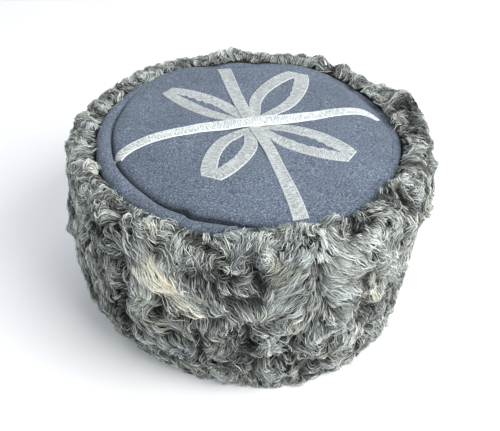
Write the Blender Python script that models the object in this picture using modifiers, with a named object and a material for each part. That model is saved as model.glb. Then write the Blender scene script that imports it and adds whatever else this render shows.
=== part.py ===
"""Karakul hat: a ring of curled fur, a felt crown set into its top, and flat braid laid over the crown.

Metres, +Z up. The origin is on the floor under the middle of the hat, and the front of the hat faces -Y.
Left and right are as seen from the front. Angles are in degrees round +Z from +X, so the front is at -90.
"""

import math
import random

import bmesh
import bpy
from mathutils import Vector
from mathutils.bvhtree import BVHTree

# Driving dimensions of the fur band
HEAD_RADIUS = 0.0925
OVALITY = 0.026
BAND_HEIGHT = 0.1130
BAND_THICKNESS = 0.0238
MOUTH_FLARE = 0.0034
MOUTH_DEPTH = 0.0175
LOCKS_AROUND = 44
LOCK_ROWS = 8
LOCK_RELIEF = 0.0058
SEAM_DEPTH = 0.0035
SEAM_WIDTH = 0.0075

# Driving dimensions of the crown
CLOTH_THICKNESS = 0.0020
SKIRT_DEPTH = 0.0260
RIM_SUNK = 0.0020
RIM_WIDTH = 0.0110
RIM_DROP = 0.0030
CREASE_DEPTH = 0.0046
CROWN_RISE = 0.0040

# Driving dimensions of the braid
BRAID_WIDTH = 0.0090
BRAID_THICKNESS = 0.0008
BRAID_SEAT = 0.00045
CROSSING_ASIDE = 0.0038
LIFT_FADE = 0.0100
LOOP_ROOT = 0.0050

# Between pieces that touch on the real hat
CLEARANCE = 0.0003

# How finely the soft forms are divided
COLUMNS_PER_LOCK = 3
FUR_ROWS = 24
SECTION_SAMPLES = 400
CROWN_COLUMNS = 60
BRAID_STEPS = 32
LOOP_STEPS = 13
SHARP_ANGLE = math.radians(50)
MERGE_DISTANCE = 1e-6

LOCK_SEED = 19
LOCK_REACH = 1.2
LOCK_MIDDLE = 0.5

# The fur's outer side, from the foot over the roll at the top and down to the mouth. out is a share of the way
# from the mouth's edge to the full thickness, up of the band's height, and relief of the locks' full relief.
FUR_SECTION = (
    {"out": 0.42, "up": 0.000, "relief": 0.0},
    {"out": 0.57, "up": 0.030, "relief": 0.6},
    {"out": 0.73, "up": 0.130, "relief": 1.0},
    {"out": 0.85, "up": 0.330, "relief": 1.0},
    {"out": 0.93, "up": 0.560, "relief": 1.0},
    {"out": 0.98, "up": 0.740, "relief": 1.0},
    {"out": 0.98, "up": 0.850, "relief": 1.0},
    {"out": 0.92, "up": 0.930, "relief": 1.0},
    {"out": 0.74, "up": 0.985, "relief": 0.9},
    {"out": 0.51, "up": 1.000, "relief": 0.7},
    {"out": 0.25, "up": 0.990, "relief": 0.4},
    {"out": 0.07, "up": 0.970, "relief": 0.1},
)

# Dark grooves where the pelts are sewn together, from the foot's angle to the top's. depth is of SEAM_DEPTH.
SEAMS = (
    {"foot": -143, "top": -136, "depth": 1.0},
    {"foot": -110, "top": -102, "depth": 0.9},
    {"foot": -66, "top": -60, "depth": 0.6},
    {"foot": -8, "top": -14, "depth": 0.8},
    {"foot": 44, "top": 50, "depth": 0.7},
    {"foot": 100, "top": 94, "depth": 0.8},
    {"foot": 158, "top": 164, "depth": 0.7},
)

# The crown's disc from its middle to the crease. share is of the crease's radius, drop of the fall to the crease.
DISC_SECTION = (
    {"share": 0.00, "drop": 0.00},
    {"share": 0.42, "drop": 0.03},
    {"share": 0.66, "drop": 0.12},
    {"share": 0.80, "drop": 0.27},
    {"share": 0.90, "drop": 0.48},
    {"share": 0.96, "drop": 0.73},
    {"share": 1.00, "drop": 1.00},
)
# The rolled rim from the crease out to the fur. rise is a share of the way up from the crease, fall of RIM_DROP.
RIM_SECTION = (
    {"share": 0.22, "rise": 0.66, "fall": 0.00},
    {"share": 0.50, "rise": 1.00, "fall": 0.00},
    {"share": 0.80, "rise": 1.00, "fall": 0.25},
    {"share": 1.00, "rise": 1.00, "fall": 1.00},
)
# Round the crown: how wide the rim is, as a share of RIM_WIDTH, and how deep the crease is, of CREASE_DEPTH.
RIM_FOLDS = (
    {"angle": -180, "width": 0.90, "depth": 1.00},
    {"angle": -150, "width": 1.10, "depth": 1.00},
    {"angle": -128, "width": 0.90, "depth": 1.00},
    {"angle": -104, "width": 0.50, "depth": 0.55},
    {"angle": -60, "width": 0.45, "depth": 0.12},
    {"angle": 0, "width": 0.50, "depth": 0.16},
    {"angle": 90, "width": 0.45, "depth": 0.10},
    {"angle": 128, "width": 0.48, "depth": 0.35},
    {"angle": 152, "width": 0.75, "depth": 0.95},
    {"angle": 180, "width": 0.90, "depth": 1.00},
)

# The middle lines of the two crossed braids, as shares of the half length of the crown along each of them.
# width is a share of BRAID_WIDTH: the braid gives way a little where it is pulled over the crown.
BRAID_ACROSS = (
    {"along": -0.850, "aside": -0.055, "width": 0.90},
    {"along": -0.760, "aside": -0.002, "width": 0.92},
    {"along": -0.560, "aside": 0.045, "width": 0.98},
    {"along": -0.320, "aside": 0.038, "width": 1.00},
    {"along": 0.040, "aside": -0.002, "width": 1.08},
    {"along": 0.360, "aside": -0.030, "width": 1.06},
    {"along": 0.720, "aside": -0.028, "width": 1.02},
    {"along": 0.900, "aside": -0.066, "width": 0.80},
)
BRAID_FRONT_BACK = (
    {"along": -0.935, "aside": 0.060, "width": 0.98},
    {"along": -0.780, "aside": 0.074, "width": 0.90},
    {"along": -0.560, "aside": 0.072, "width": 0.74},
    {"along": -0.300, "aside": 0.060, "width": 0.76},
    {"along": 0.010, "aside": 0.036, "width": 0.84},
    {"along": 0.280, "aside": 0.026, "width": 0.94},
    {"along": 0.620, "aside": 0.036, "width": 1.02},
    {"along": 0.870, "aside": 0.048, "width": 1.08},
)

# The loops, in order round the crown. reach, from the crossing to the folded tip, and opening, half the width of
# the space inside the loop, are shares of the crown's edge radius.
LOOPS = (
    {"name": "back_left", "heading": 122.5, "reach": 0.758, "opening": 0.027},
    {"name": "back_right", "heading": 51.5, "reach": 0.836, "opening": 0.075},
    {"name": "front_right", "heading": -48.5, "reach": 0.711, "opening": 0.042},
    {"name": "front_left", "heading": -128.0, "reach": 0.648, "opening": 0.048},
)
# Half the width of a loop and of its opening along their lengths, as shares of the widest place of each.
LOOP_OUTLINE = (
    {"along": 0.00, "outer": 0.10, "opening": 0.00},
    {"along": 0.12, "outer": 0.50, "opening": 0.35},
    {"along": 0.30, "outer": 0.90, "opening": 0.90},
    {"along": 0.50, "outer": 1.00, "opening": 1.00},
    {"along": 0.72, "outer": 0.90, "opening": 0.75},
    {"along": 0.90, "outer": 0.68, "opening": 0.30},
    {"along": 1.00, "outer": 0.46, "opening": 0.00},
)

FUR_GREY = (0.19, 0.19, 0.18, 1.0)
CLOTH_BLUE_GREY = (0.12, 0.15, 0.20, 1.0)
BRAID_SILVER = (0.56, 0.60, 0.60, 1.0)


# Reading the tables


def between(rows, key, at):
    """The index of the row before a place in a table, and the share of the way to the next row."""
    index = next((i for i in range(len(rows) - 1) if at <= rows[i + 1][key]), len(rows) - 2)
    part = (at - rows[index][key]) / (rows[index + 1][key] - rows[index][key])
    return index, max(0.0, min(1.0, part))


def straight(rows, key, column, at):
    """A table's column on straight lines between its rows."""
    index, part = between(rows, key, at)
    return rows[index][column] + (rows[index + 1][column] - rows[index][column]) * part


def eased(rows, key, column, at):
    """A table's column with a level stretch at each row, so that it closes smoothly round a circle."""
    index, part = between(rows, key, at)
    return rows[index][column] + (rows[index + 1][column] - rows[index][column]) * smooth(part)


def through(rows, key, column, at):
    """A table's column on a smooth curve through all its rows."""
    index, part = between(rows, key, at)
    last = len(rows) - 1
    near = [rows[max(0, min(last, index + step))] for step in (-1, 0, 1, 2)]
    span = near[2][key] - near[1][key]
    slope_in = (near[2][column] - near[0][column]) / (near[2][key] - near[0][key])
    slope_out = (near[3][column] - near[1][column]) / (near[3][key] - near[1][key])
    square, cube = part**2, part**3
    return (
        (2 * cube - 3 * square + 1) * near[1][column]
        + (cube - 2 * square + part) * span * slope_in
        + (3 * square - 2 * cube) * near[2][column]
        + (cube - square) * span * slope_out
    )


def smooth(part):
    """An S curve from 0 to 1."""
    part = max(0.0, min(1.0, part))
    return part * part * (3 - 2 * part)


# Shapes in common


def oval(angle):
    """A head is longer than it is wide: the share by which a round radius grows at an angle in radians."""
    return 1 - OVALITY * math.cos(2 * angle)


def turned(row_count, columns, closed, place):
    """A mesh of rows turned once round Z, each point put where place says for its angle and row."""
    form = bmesh.new()
    first = 1 if closed else 0
    points = [form.verts.new((first + row, 0.0, 0.0)) for row in range(row_count)]
    edges = [form.edges.new(pair) for pair in zip(points, points[1:])]
    if closed:
        edges.append(form.edges.new((points[-1], points[0])))
    bmesh.ops.spin(
        form, geom=points + edges, axis=(0, 0, 1), cent=(0, 0, 0), angle=math.tau, steps=columns, use_merge=True
    )
    bmesh.ops.remove_doubles(form, verts=form.verts, dist=MERGE_DISTANCE)
    for vert in form.verts:
        angle = math.atan2(vert.co.y, vert.co.x)
        radius, height = place(angle, round(math.hypot(vert.co.x, vert.co.y)) - first)
        radius *= oval(angle)
        vert.co = (radius * math.cos(angle), radius * math.sin(angle), height)
    bmesh.ops.recalc_face_normals(form, faces=form.faces)
    if closed and form.calc_volume(signed=True) < 0:
        bmesh.ops.reverse_faces(form, faces=form.faces)
    return form


def object_from(form, name, material, collection):
    mesh = bpy.data.meshes.new(name)
    form.to_mesh(mesh)
    form.free()
    mesh.materials.append(material)
    mesh.shade_smooth()
    mesh.set_sharp_from_angle(angle=SHARP_ANGLE)
    obj = bpy.data.objects.new(name, mesh)
    collection.objects.link(obj)
    return obj


def thickened(obj, thickness, offset):
    wall = obj.modifiers.new("wall", "SOLIDIFY")
    wall.thickness = thickness
    wall.offset = offset


def finish(name, colour, roughness):
    material = bpy.data.materials.new(name)
    material.use_nodes = True
    shader = material.node_tree.nodes["Principled BSDF"]
    shader.inputs["Base Color"].default_value = colour
    shader.inputs["Roughness"].default_value = roughness
    shader.inputs["Metallic"].default_value = 0.0
    return material


# The seat of the crown in the fur band


def rim_height():
    return BAND_HEIGHT - RIM_SUNK


def edge_height():
    """Where the crown's rim leaves the fur."""
    return rim_height() - RIM_DROP


def flare_height():
    """Where the straight inner side of the band starts to open towards its mouth."""
    return BAND_HEIGHT - MOUTH_DEPTH


def mouth_radius(height):
    part = (height - flare_height()) / (edge_height() - flare_height())
    return HEAD_RADIUS + MOUTH_FLARE * max(0.0, min(1.0, part))


def seat_heights():
    """The heights, from the mouth down, that the band's inner side and the crown's skirt share."""
    return (edge_height(), (edge_height() + flare_height()) / 2, flare_height())


# The fur band


def fur_section():
    """The rows of the band's section, from the mouth down the inside and up the outside.

    The rows of the fur's side lie an equal way apart along the section, and up tells how far along it they are.
    """
    rows = [{"radius": mouth_radius(height), "height": height, "relief": 0.0} for height in seat_heights()]
    rows.append({"radius": HEAD_RADIUS, "height": 0.0, "relief": 0.0})
    table = [dict(row, at=index) for index, row in enumerate(FUR_SECTION)]
    samples = []
    way = 0.0
    for step in range(SECTION_SAMPLES + 1):
        at = step * (len(table) - 1) / SECTION_SAMPLES
        out = through(table, "at", "out", at)
        up = max(0.0, min(1.0, through(table, "at", "up", at)))
        radius = HEAD_RADIUS + MOUTH_FLARE + (BAND_THICKNESS - MOUTH_FLARE) * out
        height = BAND_HEIGHT * up
        if samples:
            way += math.hypot(radius - samples[-1]["radius"], height - samples[-1]["height"])
        relief = straight(table, "at", "relief", at)
        samples.append({"way": way, "radius": radius, "height": height, "relief": relief})
    for step in range(FUR_ROWS):
        up = step / (FUR_ROWS - 1)
        row = {column: straight(samples, "way", column, way * up) for column in ("radius", "height", "relief")}
        rows.append(dict(row, up=up))
    return rows


def scattered_locks():
    """The locks of fur: rows of tilted ovals, each row half a lock on from the last, jittered with a fixed seed."""
    chance = random.Random(LOCK_SEED)
    locks = []
    for row in range(-1, LOCK_ROWS + 1):
        for index in range(LOCKS_AROUND):
            locks.append(
                {
                    "around": (index + 0.5 * (row % 2) + chance.uniform(-0.22, 0.22)) % LOCKS_AROUND,
                    "up": row + 0.5 + chance.uniform(-0.25, 0.25),
                    "tilt": chance.uniform(-1.2, 1.2),
                    "length": chance.uniform(0.62, 0.86),
                    "breadth": chance.uniform(0.36, 0.52),
                    "relief": chance.uniform(0.60, 1.00),
                }
            )
    return locks


def lock_relief(locks, angle, up):
    """How far the locks stand out here, from 0 in the valleys to 1 on the tallest lock."""
    around = (angle % math.tau) / math.tau * LOCKS_AROUND
    tallest = 0.0
    for lock in locks:
        aside = (around - lock["around"] + LOCKS_AROUND / 2) % LOCKS_AROUND - LOCKS_AROUND / 2
        above = up * LOCK_ROWS - lock["up"]
        if max(abs(aside), abs(above)) > LOCK_REACH:
            continue
        lengthwise = aside * math.cos(lock["tilt"]) + above * math.sin(lock["tilt"])
        crosswise = above * math.cos(lock["tilt"]) - aside * math.sin(lock["tilt"])
        inside = 1 - (lengthwise / lock["length"]) ** 2 - (crosswise / lock["breadth"]) ** 2
        if inside > 0:
            tallest = max(tallest, lock["relief"] * math.sqrt(inside))
    return tallest


def seam_groove(angle, up, radius):
    """How far the sewn seams draw the fur in here."""
    deepest = 0.0
    for seam in SEAMS:
        line = seam["foot"] + (seam["top"] - seam["foot"]) * up
        turn = (math.degrees(angle) - line + 180) % 360 - 180
        away = math.radians(abs(turn)) * radius
        deepest = max(deepest, seam["depth"] * (1 - smooth(away / SEAM_WIDTH)))
    return deepest * SEAM_DEPTH


def make_fur_band(material, collection):
    rows = fur_section()
    locks = scattered_locks()

    def place(angle, index):
        row = rows[index]
        if row["relief"] == 0:
            return row["radius"], row["height"]
        before, after = rows[index - 1], rows[(index + 1) % len(rows)]
        along = Vector((after["radius"] - before["radius"], after["height"] - before["height"])).normalized()
        stand = LOCK_RELIEF * (lock_relief(locks, angle, row["up"]) - LOCK_MIDDLE)
        stand = row["relief"] * (stand - seam_groove(angle, row["up"], row["radius"]))
        return row["radius"] + along.y * stand, max(0.0, row["height"] - along.x * stand)

    form = turned(len(rows), LOCKS_AROUND * COLUMNS_PER_LOCK, True, place)
    object_from(form, "fur_band", material, collection)


# The crown


def edge_radius():
    """The outer side of the crown's rim, where it meets the mouth of the fur band."""
    return mouth_radius(edge_height()) - CLEARANCE


def crown_place(angle, row):
    """Round radius and height of one row of the crown at an angle, from the middle out and down the skirt."""
    turn = math.degrees(angle)
    crease = edge_radius() - RIM_WIDTH * eased(RIM_FOLDS, "angle", "width", turn)
    low = rim_height() - CREASE_DEPTH * eased(RIM_FOLDS, "angle", "depth", turn)
    if row < len(DISC_SECTION):
        section = DISC_SECTION[row]
        high = rim_height() + CROWN_RISE
        return crease * section["share"], high - (high - low) * section["drop"]
    row -= len(DISC_SECTION)
    if row < len(RIM_SECTION):
        section = RIM_SECTION[row]
        radius = crease + (edge_radius() - crease) * section["share"]
        return radius, low + (rim_height() - low) * section["rise"] - RIM_DROP * section["fall"]
    row -= len(RIM_SECTION)
    height = (*seat_heights()[1:], BAND_HEIGHT - SKIRT_DEPTH)[row]
    return mouth_radius(height) - CLEARANCE, height


def make_crown(material, collection):
    """Makes the crown, and gives its outer surface for the braid to lie on."""
    row_count = len(DISC_SECTION) + len(RIM_SECTION) + len(seat_heights())
    form = turned(row_count, CROWN_COLUMNS, False, crown_place)
    surface = BVHTree.FromBMesh(form)
    crown = object_from(form, "crown_cloth", material, collection)
    thickened(crown, CLOTH_THICKNESS, -1.0)
    return surface


# The braid


def on_crown(surface, place, lift):
    """The point that lies the seat and a lift above the crown's cloth."""
    above = Vector((place.x, place.y, 2 * BAND_HEIGHT))
    cloth = surface.ray_cast(above, Vector((0, 0, -1)))[0]
    return cloth + Vector((0, 0, BRAID_SEAT + lift))


def make_strip(name, sides, closed, material, collection):
    """A flat braid between two edges, each a list of points, thickened upwards. A closed one is a ring."""
    steps = len(sides[0]) - 1
    form = bmesh.new()
    bmesh.ops.create_grid(form, x_segments=steps, y_segments=1, size=0.5)
    for vert in form.verts:
        vert.co = sides[round(vert.co.y + 0.5)][round((vert.co.x + 0.5) * steps)]
    if closed:
        bmesh.ops.remove_doubles(form, verts=form.verts, dist=MERGE_DISTANCE)
    bmesh.ops.recalc_face_normals(form, faces=form.faces)
    if sum(face.normal.z for face in form.faces) < 0:
        bmesh.ops.reverse_faces(form, faces=form.faces)
    thickened(object_from(form, name, material, collection), BRAID_THICKNESS, 1.0)


def loop_half_width(loop):
    return edge_radius() * loop["opening"] + BRAID_WIDTH


def make_crossed_braid(name, rows, lengthwise, surface, material, collection):
    """One of the two straight braids. It rises over the loops, and the one across rises over the other too."""
    half_length = edge_radius() * (1 + OVALITY if lengthwise else 1 - OVALITY)
    first, last = rows[0]["along"], rows[-1]["along"]
    shares = [first + (last - first) * step / BRAID_STEPS for step in range(BRAID_STEPS + 1)]
    middle = []
    for share in shares:
        point = Vector((share, through(rows, "along", "aside", share))) * half_length
        middle.append(point.yx if lengthwise else point)
    layer = BRAID_THICKNESS + CLEARANCE
    over_loops = 2 * max(loop_half_width(loop) for loop in LOOPS)
    sides = ([], [])
    for step, point in enumerate(middle):
        ahead = (middle[min(step + 1, BRAID_STEPS)] - middle[max(step - 1, 0)]).normalized()
        width = BRAID_WIDTH * through(rows, "along", "width", shares[step])
        across = Vector((-ahead.y, ahead.x)) * width / 2
        away = (point - Vector((CROSSING_ASIDE, 0.0))).length
        lift = layer * (1 - smooth((away - over_loops) / LIFT_FADE))
        if not lengthwise:
            lift += layer * (1 - smooth((away - BRAID_WIDTH) / LIFT_FADE))
        for side, sign in zip(sides, (-1, 1)):
            side.append(on_crown(surface, point + across * sign, lift))
    make_strip(name, sides, False, material, collection)


def make_loop(index, surface, material, collection):
    """One folded loop: a ring of braid between an outer outline and the opening inside it.

    Near the crossing the loops are squeezed, each to its own side of the line halfway to its neighbour.
    """
    loop = LOOPS[index]
    heading = math.radians(loop["heading"])
    ahead = Vector((math.cos(heading), math.sin(heading)))
    left = Vector((-ahead.y, ahead.x))
    neighbours = (LOOPS[index - 1], LOOPS[(index + 1) % len(LOOPS)])
    turns = [abs((other["heading"] - loop["heading"] + 180) % 360 - 180) for other in neighbours]
    room = math.tan(math.radians(min(turns) / 2))
    reach = edge_radius() * loop["reach"]
    opening = edge_radius() * loop["opening"]
    opening_from = LOOP_ROOT + BRAID_WIDTH
    opening_to = reach - BRAID_WIDTH
    steps = list(range(LOOP_STEPS + 1))
    stations = [(1, step) for step in steps] + [(-1, step) for step in reversed(steps)] + [(1, 0)]
    sides = ([], [])
    for side, step in stations:
        share = step / LOOP_STEPS
        along = LOOP_ROOT + (reach - LOOP_ROOT) * share
        aside = loop_half_width(loop) * through(LOOP_OUTLINE, "along", "outer", share)
        aside = min(aside, along * room - CLEARANCE)
        inner_along = opening_from + (opening_to - opening_from) * share
        inner_aside = opening * through(LOOP_OUTLINE, "along", "opening", share)
        for points, far, wide in ((sides[0], along, aside), (sides[1], inner_along, inner_aside)):
            place = Vector((CROSSING_ASIDE, 0.0)) + ahead * far + left * (wide * side)
            points.append(on_crown(surface, place, 0.0))
    make_strip("braid_loop_" + loop["name"], sides, True, material, collection)


def main():
    for obj in list(bpy.data.objects):
        bpy.data.objects.remove(obj)
    collection = bpy.data.collections.new("karakul_hat")
    bpy.context.scene.collection.children.link(collection)
    fur = finish("fur", FUR_GREY, 0.75)
    felt = finish("felt", CLOTH_BLUE_GREY, 0.95)
    braid = finish("braid", BRAID_SILVER, 0.55)
    make_fur_band(fur, collection)
    surface = make_crown(felt, collection)
    make_crossed_braid("braid_front_back", BRAID_FRONT_BACK, True, surface, braid, collection)
    make_crossed_braid("braid_across", BRAID_ACROSS, False, surface, braid, collection)
    for index in range(len(LOOPS)):
        make_loop(index, surface, braid, collection)


main()
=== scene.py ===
"""The looks of the karakul hat: curled fur, a felt crown with a rolled rim, and ribbed silver braid.

Metres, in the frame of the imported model: +Z is up, and the front of the hat faces -Y. Left and right are as
seen from the front. Angles are in degrees round +Z from +X, so the front is at -90. A way is measured along
the fur's section: up its outer side from the floor, over the roll at the top and into the mouth.
"""

import math

import bpy
import numpy as np
from mathutils import Matrix, Vector

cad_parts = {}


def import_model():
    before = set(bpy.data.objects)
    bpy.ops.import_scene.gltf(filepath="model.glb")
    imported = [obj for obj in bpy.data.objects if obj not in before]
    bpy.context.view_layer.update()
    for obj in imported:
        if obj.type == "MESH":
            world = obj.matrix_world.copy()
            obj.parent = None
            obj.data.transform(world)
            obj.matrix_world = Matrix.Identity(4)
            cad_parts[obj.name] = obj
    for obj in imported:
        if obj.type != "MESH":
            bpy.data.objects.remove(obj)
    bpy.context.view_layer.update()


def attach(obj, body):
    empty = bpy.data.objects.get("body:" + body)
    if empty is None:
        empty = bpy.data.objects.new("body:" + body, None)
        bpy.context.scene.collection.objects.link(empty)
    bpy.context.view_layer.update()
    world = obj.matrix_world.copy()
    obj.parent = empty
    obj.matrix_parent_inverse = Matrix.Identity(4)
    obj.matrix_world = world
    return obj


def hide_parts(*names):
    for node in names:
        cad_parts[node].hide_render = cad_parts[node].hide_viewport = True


MM = 0.001


def table(names, *rows):
    """Rows of values under one line of names, as dictionaries."""
    return [dict(zip(names.split(), row)) for row in rows]


# Sizes that the looks share with the CAD
HEAD_RADIUS = 0.0925
OVALITY = 0.026
BAND_HEIGHT = 0.1130
BAND_THICKNESS = 0.0238
MOUTH_FLARE = 0.0034
MOUTH_DEPTH = 0.0175
CLOTH_THICKNESS = 0.0020
SKIRT_DEPTH = 0.0260
RIM_SUNK = 0.0020
RIM_WIDTH = 0.0110
RIM_DROP = 0.0030
CREASE_DEPTH = 0.0056
CROWN_RISE = 0.0040
CLEARANCE = 0.0003
BRAID_WIDTH = 0.0090
CROSSING_ASIDE = 0.0038
LIFT_FADE = 0.0100
LOOP_ROOT = 0.0050

# The fur's outer side, as shares of the way out from the mouth's edge and of the band's height
FUR_SECTION = table(
    "out up",
    (0.42, 0.000),
    (0.57, 0.030),
    (0.73, 0.130),
    (0.85, 0.330),
    (0.93, 0.560),
    (0.98, 0.740),
    (0.98, 0.850),
    (0.92, 0.930),
    (0.74, 0.985),
    (0.51, 1.000),
)
# Past the roll's highest line the hair lies on over the edge of the cloth, here in millimetres
OVER_THE_CLOTH = table(
    "radius height",
    (103.0, 113.1),
    (99.5, 112.6),
    (96.0, 112.0),
    (92.0, 112.2),
    (86.0, 113.4),
)

# Hair: wisps of strands, each a ribbon through a few points. Pairs are the least and the most in millimetres
SEED = 7
WISP_SPACING = 3.75 * MM
BACK_SHARE = 0.72
WISP_LENGTH = (8.5, 13.8)
WISP_HALF_WIDTH = (1.6, 3.2)
WISP_LAYER = (-0.8, 1.0)
CRIMP = (0.1, 0.5)
CRIMP_LENGTH = (6.0, 10)
STRANDS_PER_WISP = 15
STRAND_SHARES = np.array((0.00, 0.20, 0.41, 0.62, 0.82, 1.00))
STRAND_HALF_WIDTH = (0.09, 0.18)
FRIZZ = (0.12, 0.50)
FRIZZ_LENGTH = (4.2, 8)
OFF_THE_FLOOR = (0.15, 1.4)
LINE_STEPS = 10
# How many strands stray from their wisp, and how far in millimetres
STRAY_SHARE = 0.10
STRAY = 1.2
# How far wisps curl, in degrees, and the share of them that do
CURL_TURNS = (35, 90, 165)
CURL_SHARES = (0.40, 0.38, 0.22)
ROOT_DEPTH = 3.4 * MM
PELT_DEPTH = 2.9 * MM
MOUTH_WAY = 129.5 * MM
MOUTH_RADIUS = 96 * MM
# The field that combs it: its step, the radius at which it is measured round the hat, how strongly hair lies
# down the fur and how far a rosette pulls. Its smooth waves have a shortest and a longest in millimetres, and
# a count.
FIELD_STEP = 1.5 * MM
FUR_RADIUS = 115 * MM
DOWNWARD = 0.75
DOWN_THE_MOUTH = 0.35
ROSETTE_PULL = 1.6
ROSETTE_INWARD = 0.25
FULL_PULL = 1.2
SWIRL_WAVES = (19, 40, 30)
LIGHT_WAVES = (22, 60, 14)
BEND_WAVES = (15, 30, 24)
LENGTH_WAVES = (20, 50, 10)
RELIEF_WAVES = (13, 26, 30)
TINT_WAVES = (10, 36, 20)
AROUND, ALONG, LIGHT, CURL, LENGTH, RELIEF, VALLEY, BEND, CALM = range(9)
# Colour: the point of a strand that chooses it, and places on the colour map from dark to light. Added to it
# are painted shade in valleys, painted light on raised locks and on the upper layer of a wisp, and chance in
# a wisp and a strand
SEEN_POINT = 3
SHADES = 48
AVERAGE_SHADE = 0.54
COMBED_LIGHT = 0.25
VALLEY_PAINTED_SHADE = 0.42
RELIEF_PAINTED_LIGHT = 0.15
LAYER_PAINTED_LIGHT = 0.16
WISP_CHANCE = 0.12
STRAND_CHANCE = 0.19
GREYEST = 0.83
CREAM_SHADE = 0.885
TAN_SHADE = 0.965
# The fur is one piece for each of these parts of its round
SECTORS = table(
    "name middle half",
    ("front", -94, 30),
    ("front_left", -154, 30),
    ("back_left", 146, 30),
    ("back", 86, 30),
    ("back_right", 26, 30),
    ("front_right", -34, 30),
)

# How the fur is combed where the photo shows it. way and reach are in millimetres. heading is in degrees on
# the surface: 0 towards +angle, which is right as seen from outside, and 90 up. pull is how far it overrules
# the curls. curl, light and length are added to the average.
COMBING = table(
    "angle way reach heading pull curl light length",
    # the roll and the side left of the middle, which sweep over from the edge of the cloth
    (-133, 118, 9, -15, 1.5, -0.6, 0.10, 0.4),
    (-140, 112, 8, -50, 1.0, -0.4, 0.02, 0.2),
    (-134, 104, 10, -75, 1.5, -0.6, 0.12, 0.4),
    (-133, 88, 12, -62, 1.6, -0.7, 0.30, 0.7),
    (-129, 96, 8, -44, 1.5, -0.7, 0.28, 0.6),
    # the bright tufts
    (-126.5, 94, 6, -30, 2.2, -0.9, 0.60, 0.5),
    (-124, 82, 7, -28, 2.2, -0.9, 0.60, 0.6),
    (-120, 73, 6, -27, 2.4, -0.9, 0.55, 0.9),
    # below them the hair fans out to both sides
    (-132, 72, 9, -168, 1.4, -0.5, 0.14, 0.4),
    (-129, 58, 9, -12, 1.6, -0.5, 0.16, 0.5),
    (-134, 45, 10, -35, 1.2, -0.3, 0.08, 0.3),
    (-125, 44, 8, -60, 1.2, -0.2, -0.05, 0.2),
    (-136, 20, 11, -32, 1.4, -0.3, 0.12, 0.4),
    (-126, 18, 9, -70, 0.9, 0.0, 0.02, 0.2),
    # the left edge, in long upright ropes
    (-158, 70, 14, -84, 1.6, -0.4, 0.02, 0.6),
    (-156, 40, 14, -88, 1.6, -0.4, 0.02, 0.6),
    (-172, 60, 18, -95, 1.0, -0.2, 0.02, 0.4),
    (-148, 84, 9, -78, 1.2, 0.0, -0.10, 0.2),
    (-166, 112, 12, -38, 1.2, 0.1, 0.12, 0.2),
    (-178, 118, 12, -60, 1.0, 0.1, 0.10, 0.2),
    # the dark combed lobe in the middle
    (-116, 92, 9, -66, 2.0, -0.8, -0.10, 0.3),
    (-111, 86, 9, -68, 2.0, -0.8, -0.12, 0.3),
    (-106, 92, 8, -58, 2.0, -0.8, -0.10, 0.3),
    (-114, 76, 7, -58, 2.0, -0.8, -0.02, 0.2),
    (-107, 80, 7, -40, 2.0, -0.8, -0.02, 0.2),
    # feathers to the left of the parting
    (-95, 106, 8, -148, 1.5, -0.3, 0.10, 0.3),
    (-94, 94, 9, -150, 1.8, -0.5, 0.16, 0.5),
    (-94, 80, 9, -145, 1.8, -0.5, 0.12, 0.5),
    (-91, 66, 8, -125, 1.4, -0.3, 0.06, 0.3),
    (-90, 112, 7, -120, 1.4, -0.3, 0.08, 0.3),
    # and to the right of it, ending in bright tips
    (-83, 108, 8, -42, 1.8, -0.5, 0.12, 0.4),
    (-81, 96, 9, -36, 1.9, -0.6, 0.24, 0.5),
    (-81, 82, 9, -42, 1.8, -0.5, 0.20, 0.5),
    (-80, 66, 8, -50, 1.5, -0.3, 0.16, 0.4),
    (-86, 60, 6, -90, 1.6, -0.5, 0.16, 0.4),
    (-76, 36, 7, -88, 1.2, -0.2, 0.20, 0.3),
    # the right side
    (-71, 110, 8, -55, 1.6, -0.4, 0.28, 0.5),
    (-67, 98, 7, -60, 1.2, -0.2, 0.20, 0.3),
    (-71, 65, 5, 18, 2.0, -0.6, 0.40, 0.2),
    (-60, 84, 8, -62, 0.8, 0.1, 0.14, 0.2),
    (-48, 70, 12, -70, 0.6, 0.1, 0.10, 0.1),
    (-35, 60, 14, -80, 0.6, 0.0, 0.10, 0.1),
    # bright hooks low in the middle
    (-101, 26, 7, -62, 1.2, 0.3, 0.16, 0.2),
    (-97, 12, 7, -50, 1.0, 0.4, 0.12, 0.1),
    (-101, 66, 5, -20, 1.5, 0.0, 0.18, 0.1),
)

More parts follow.
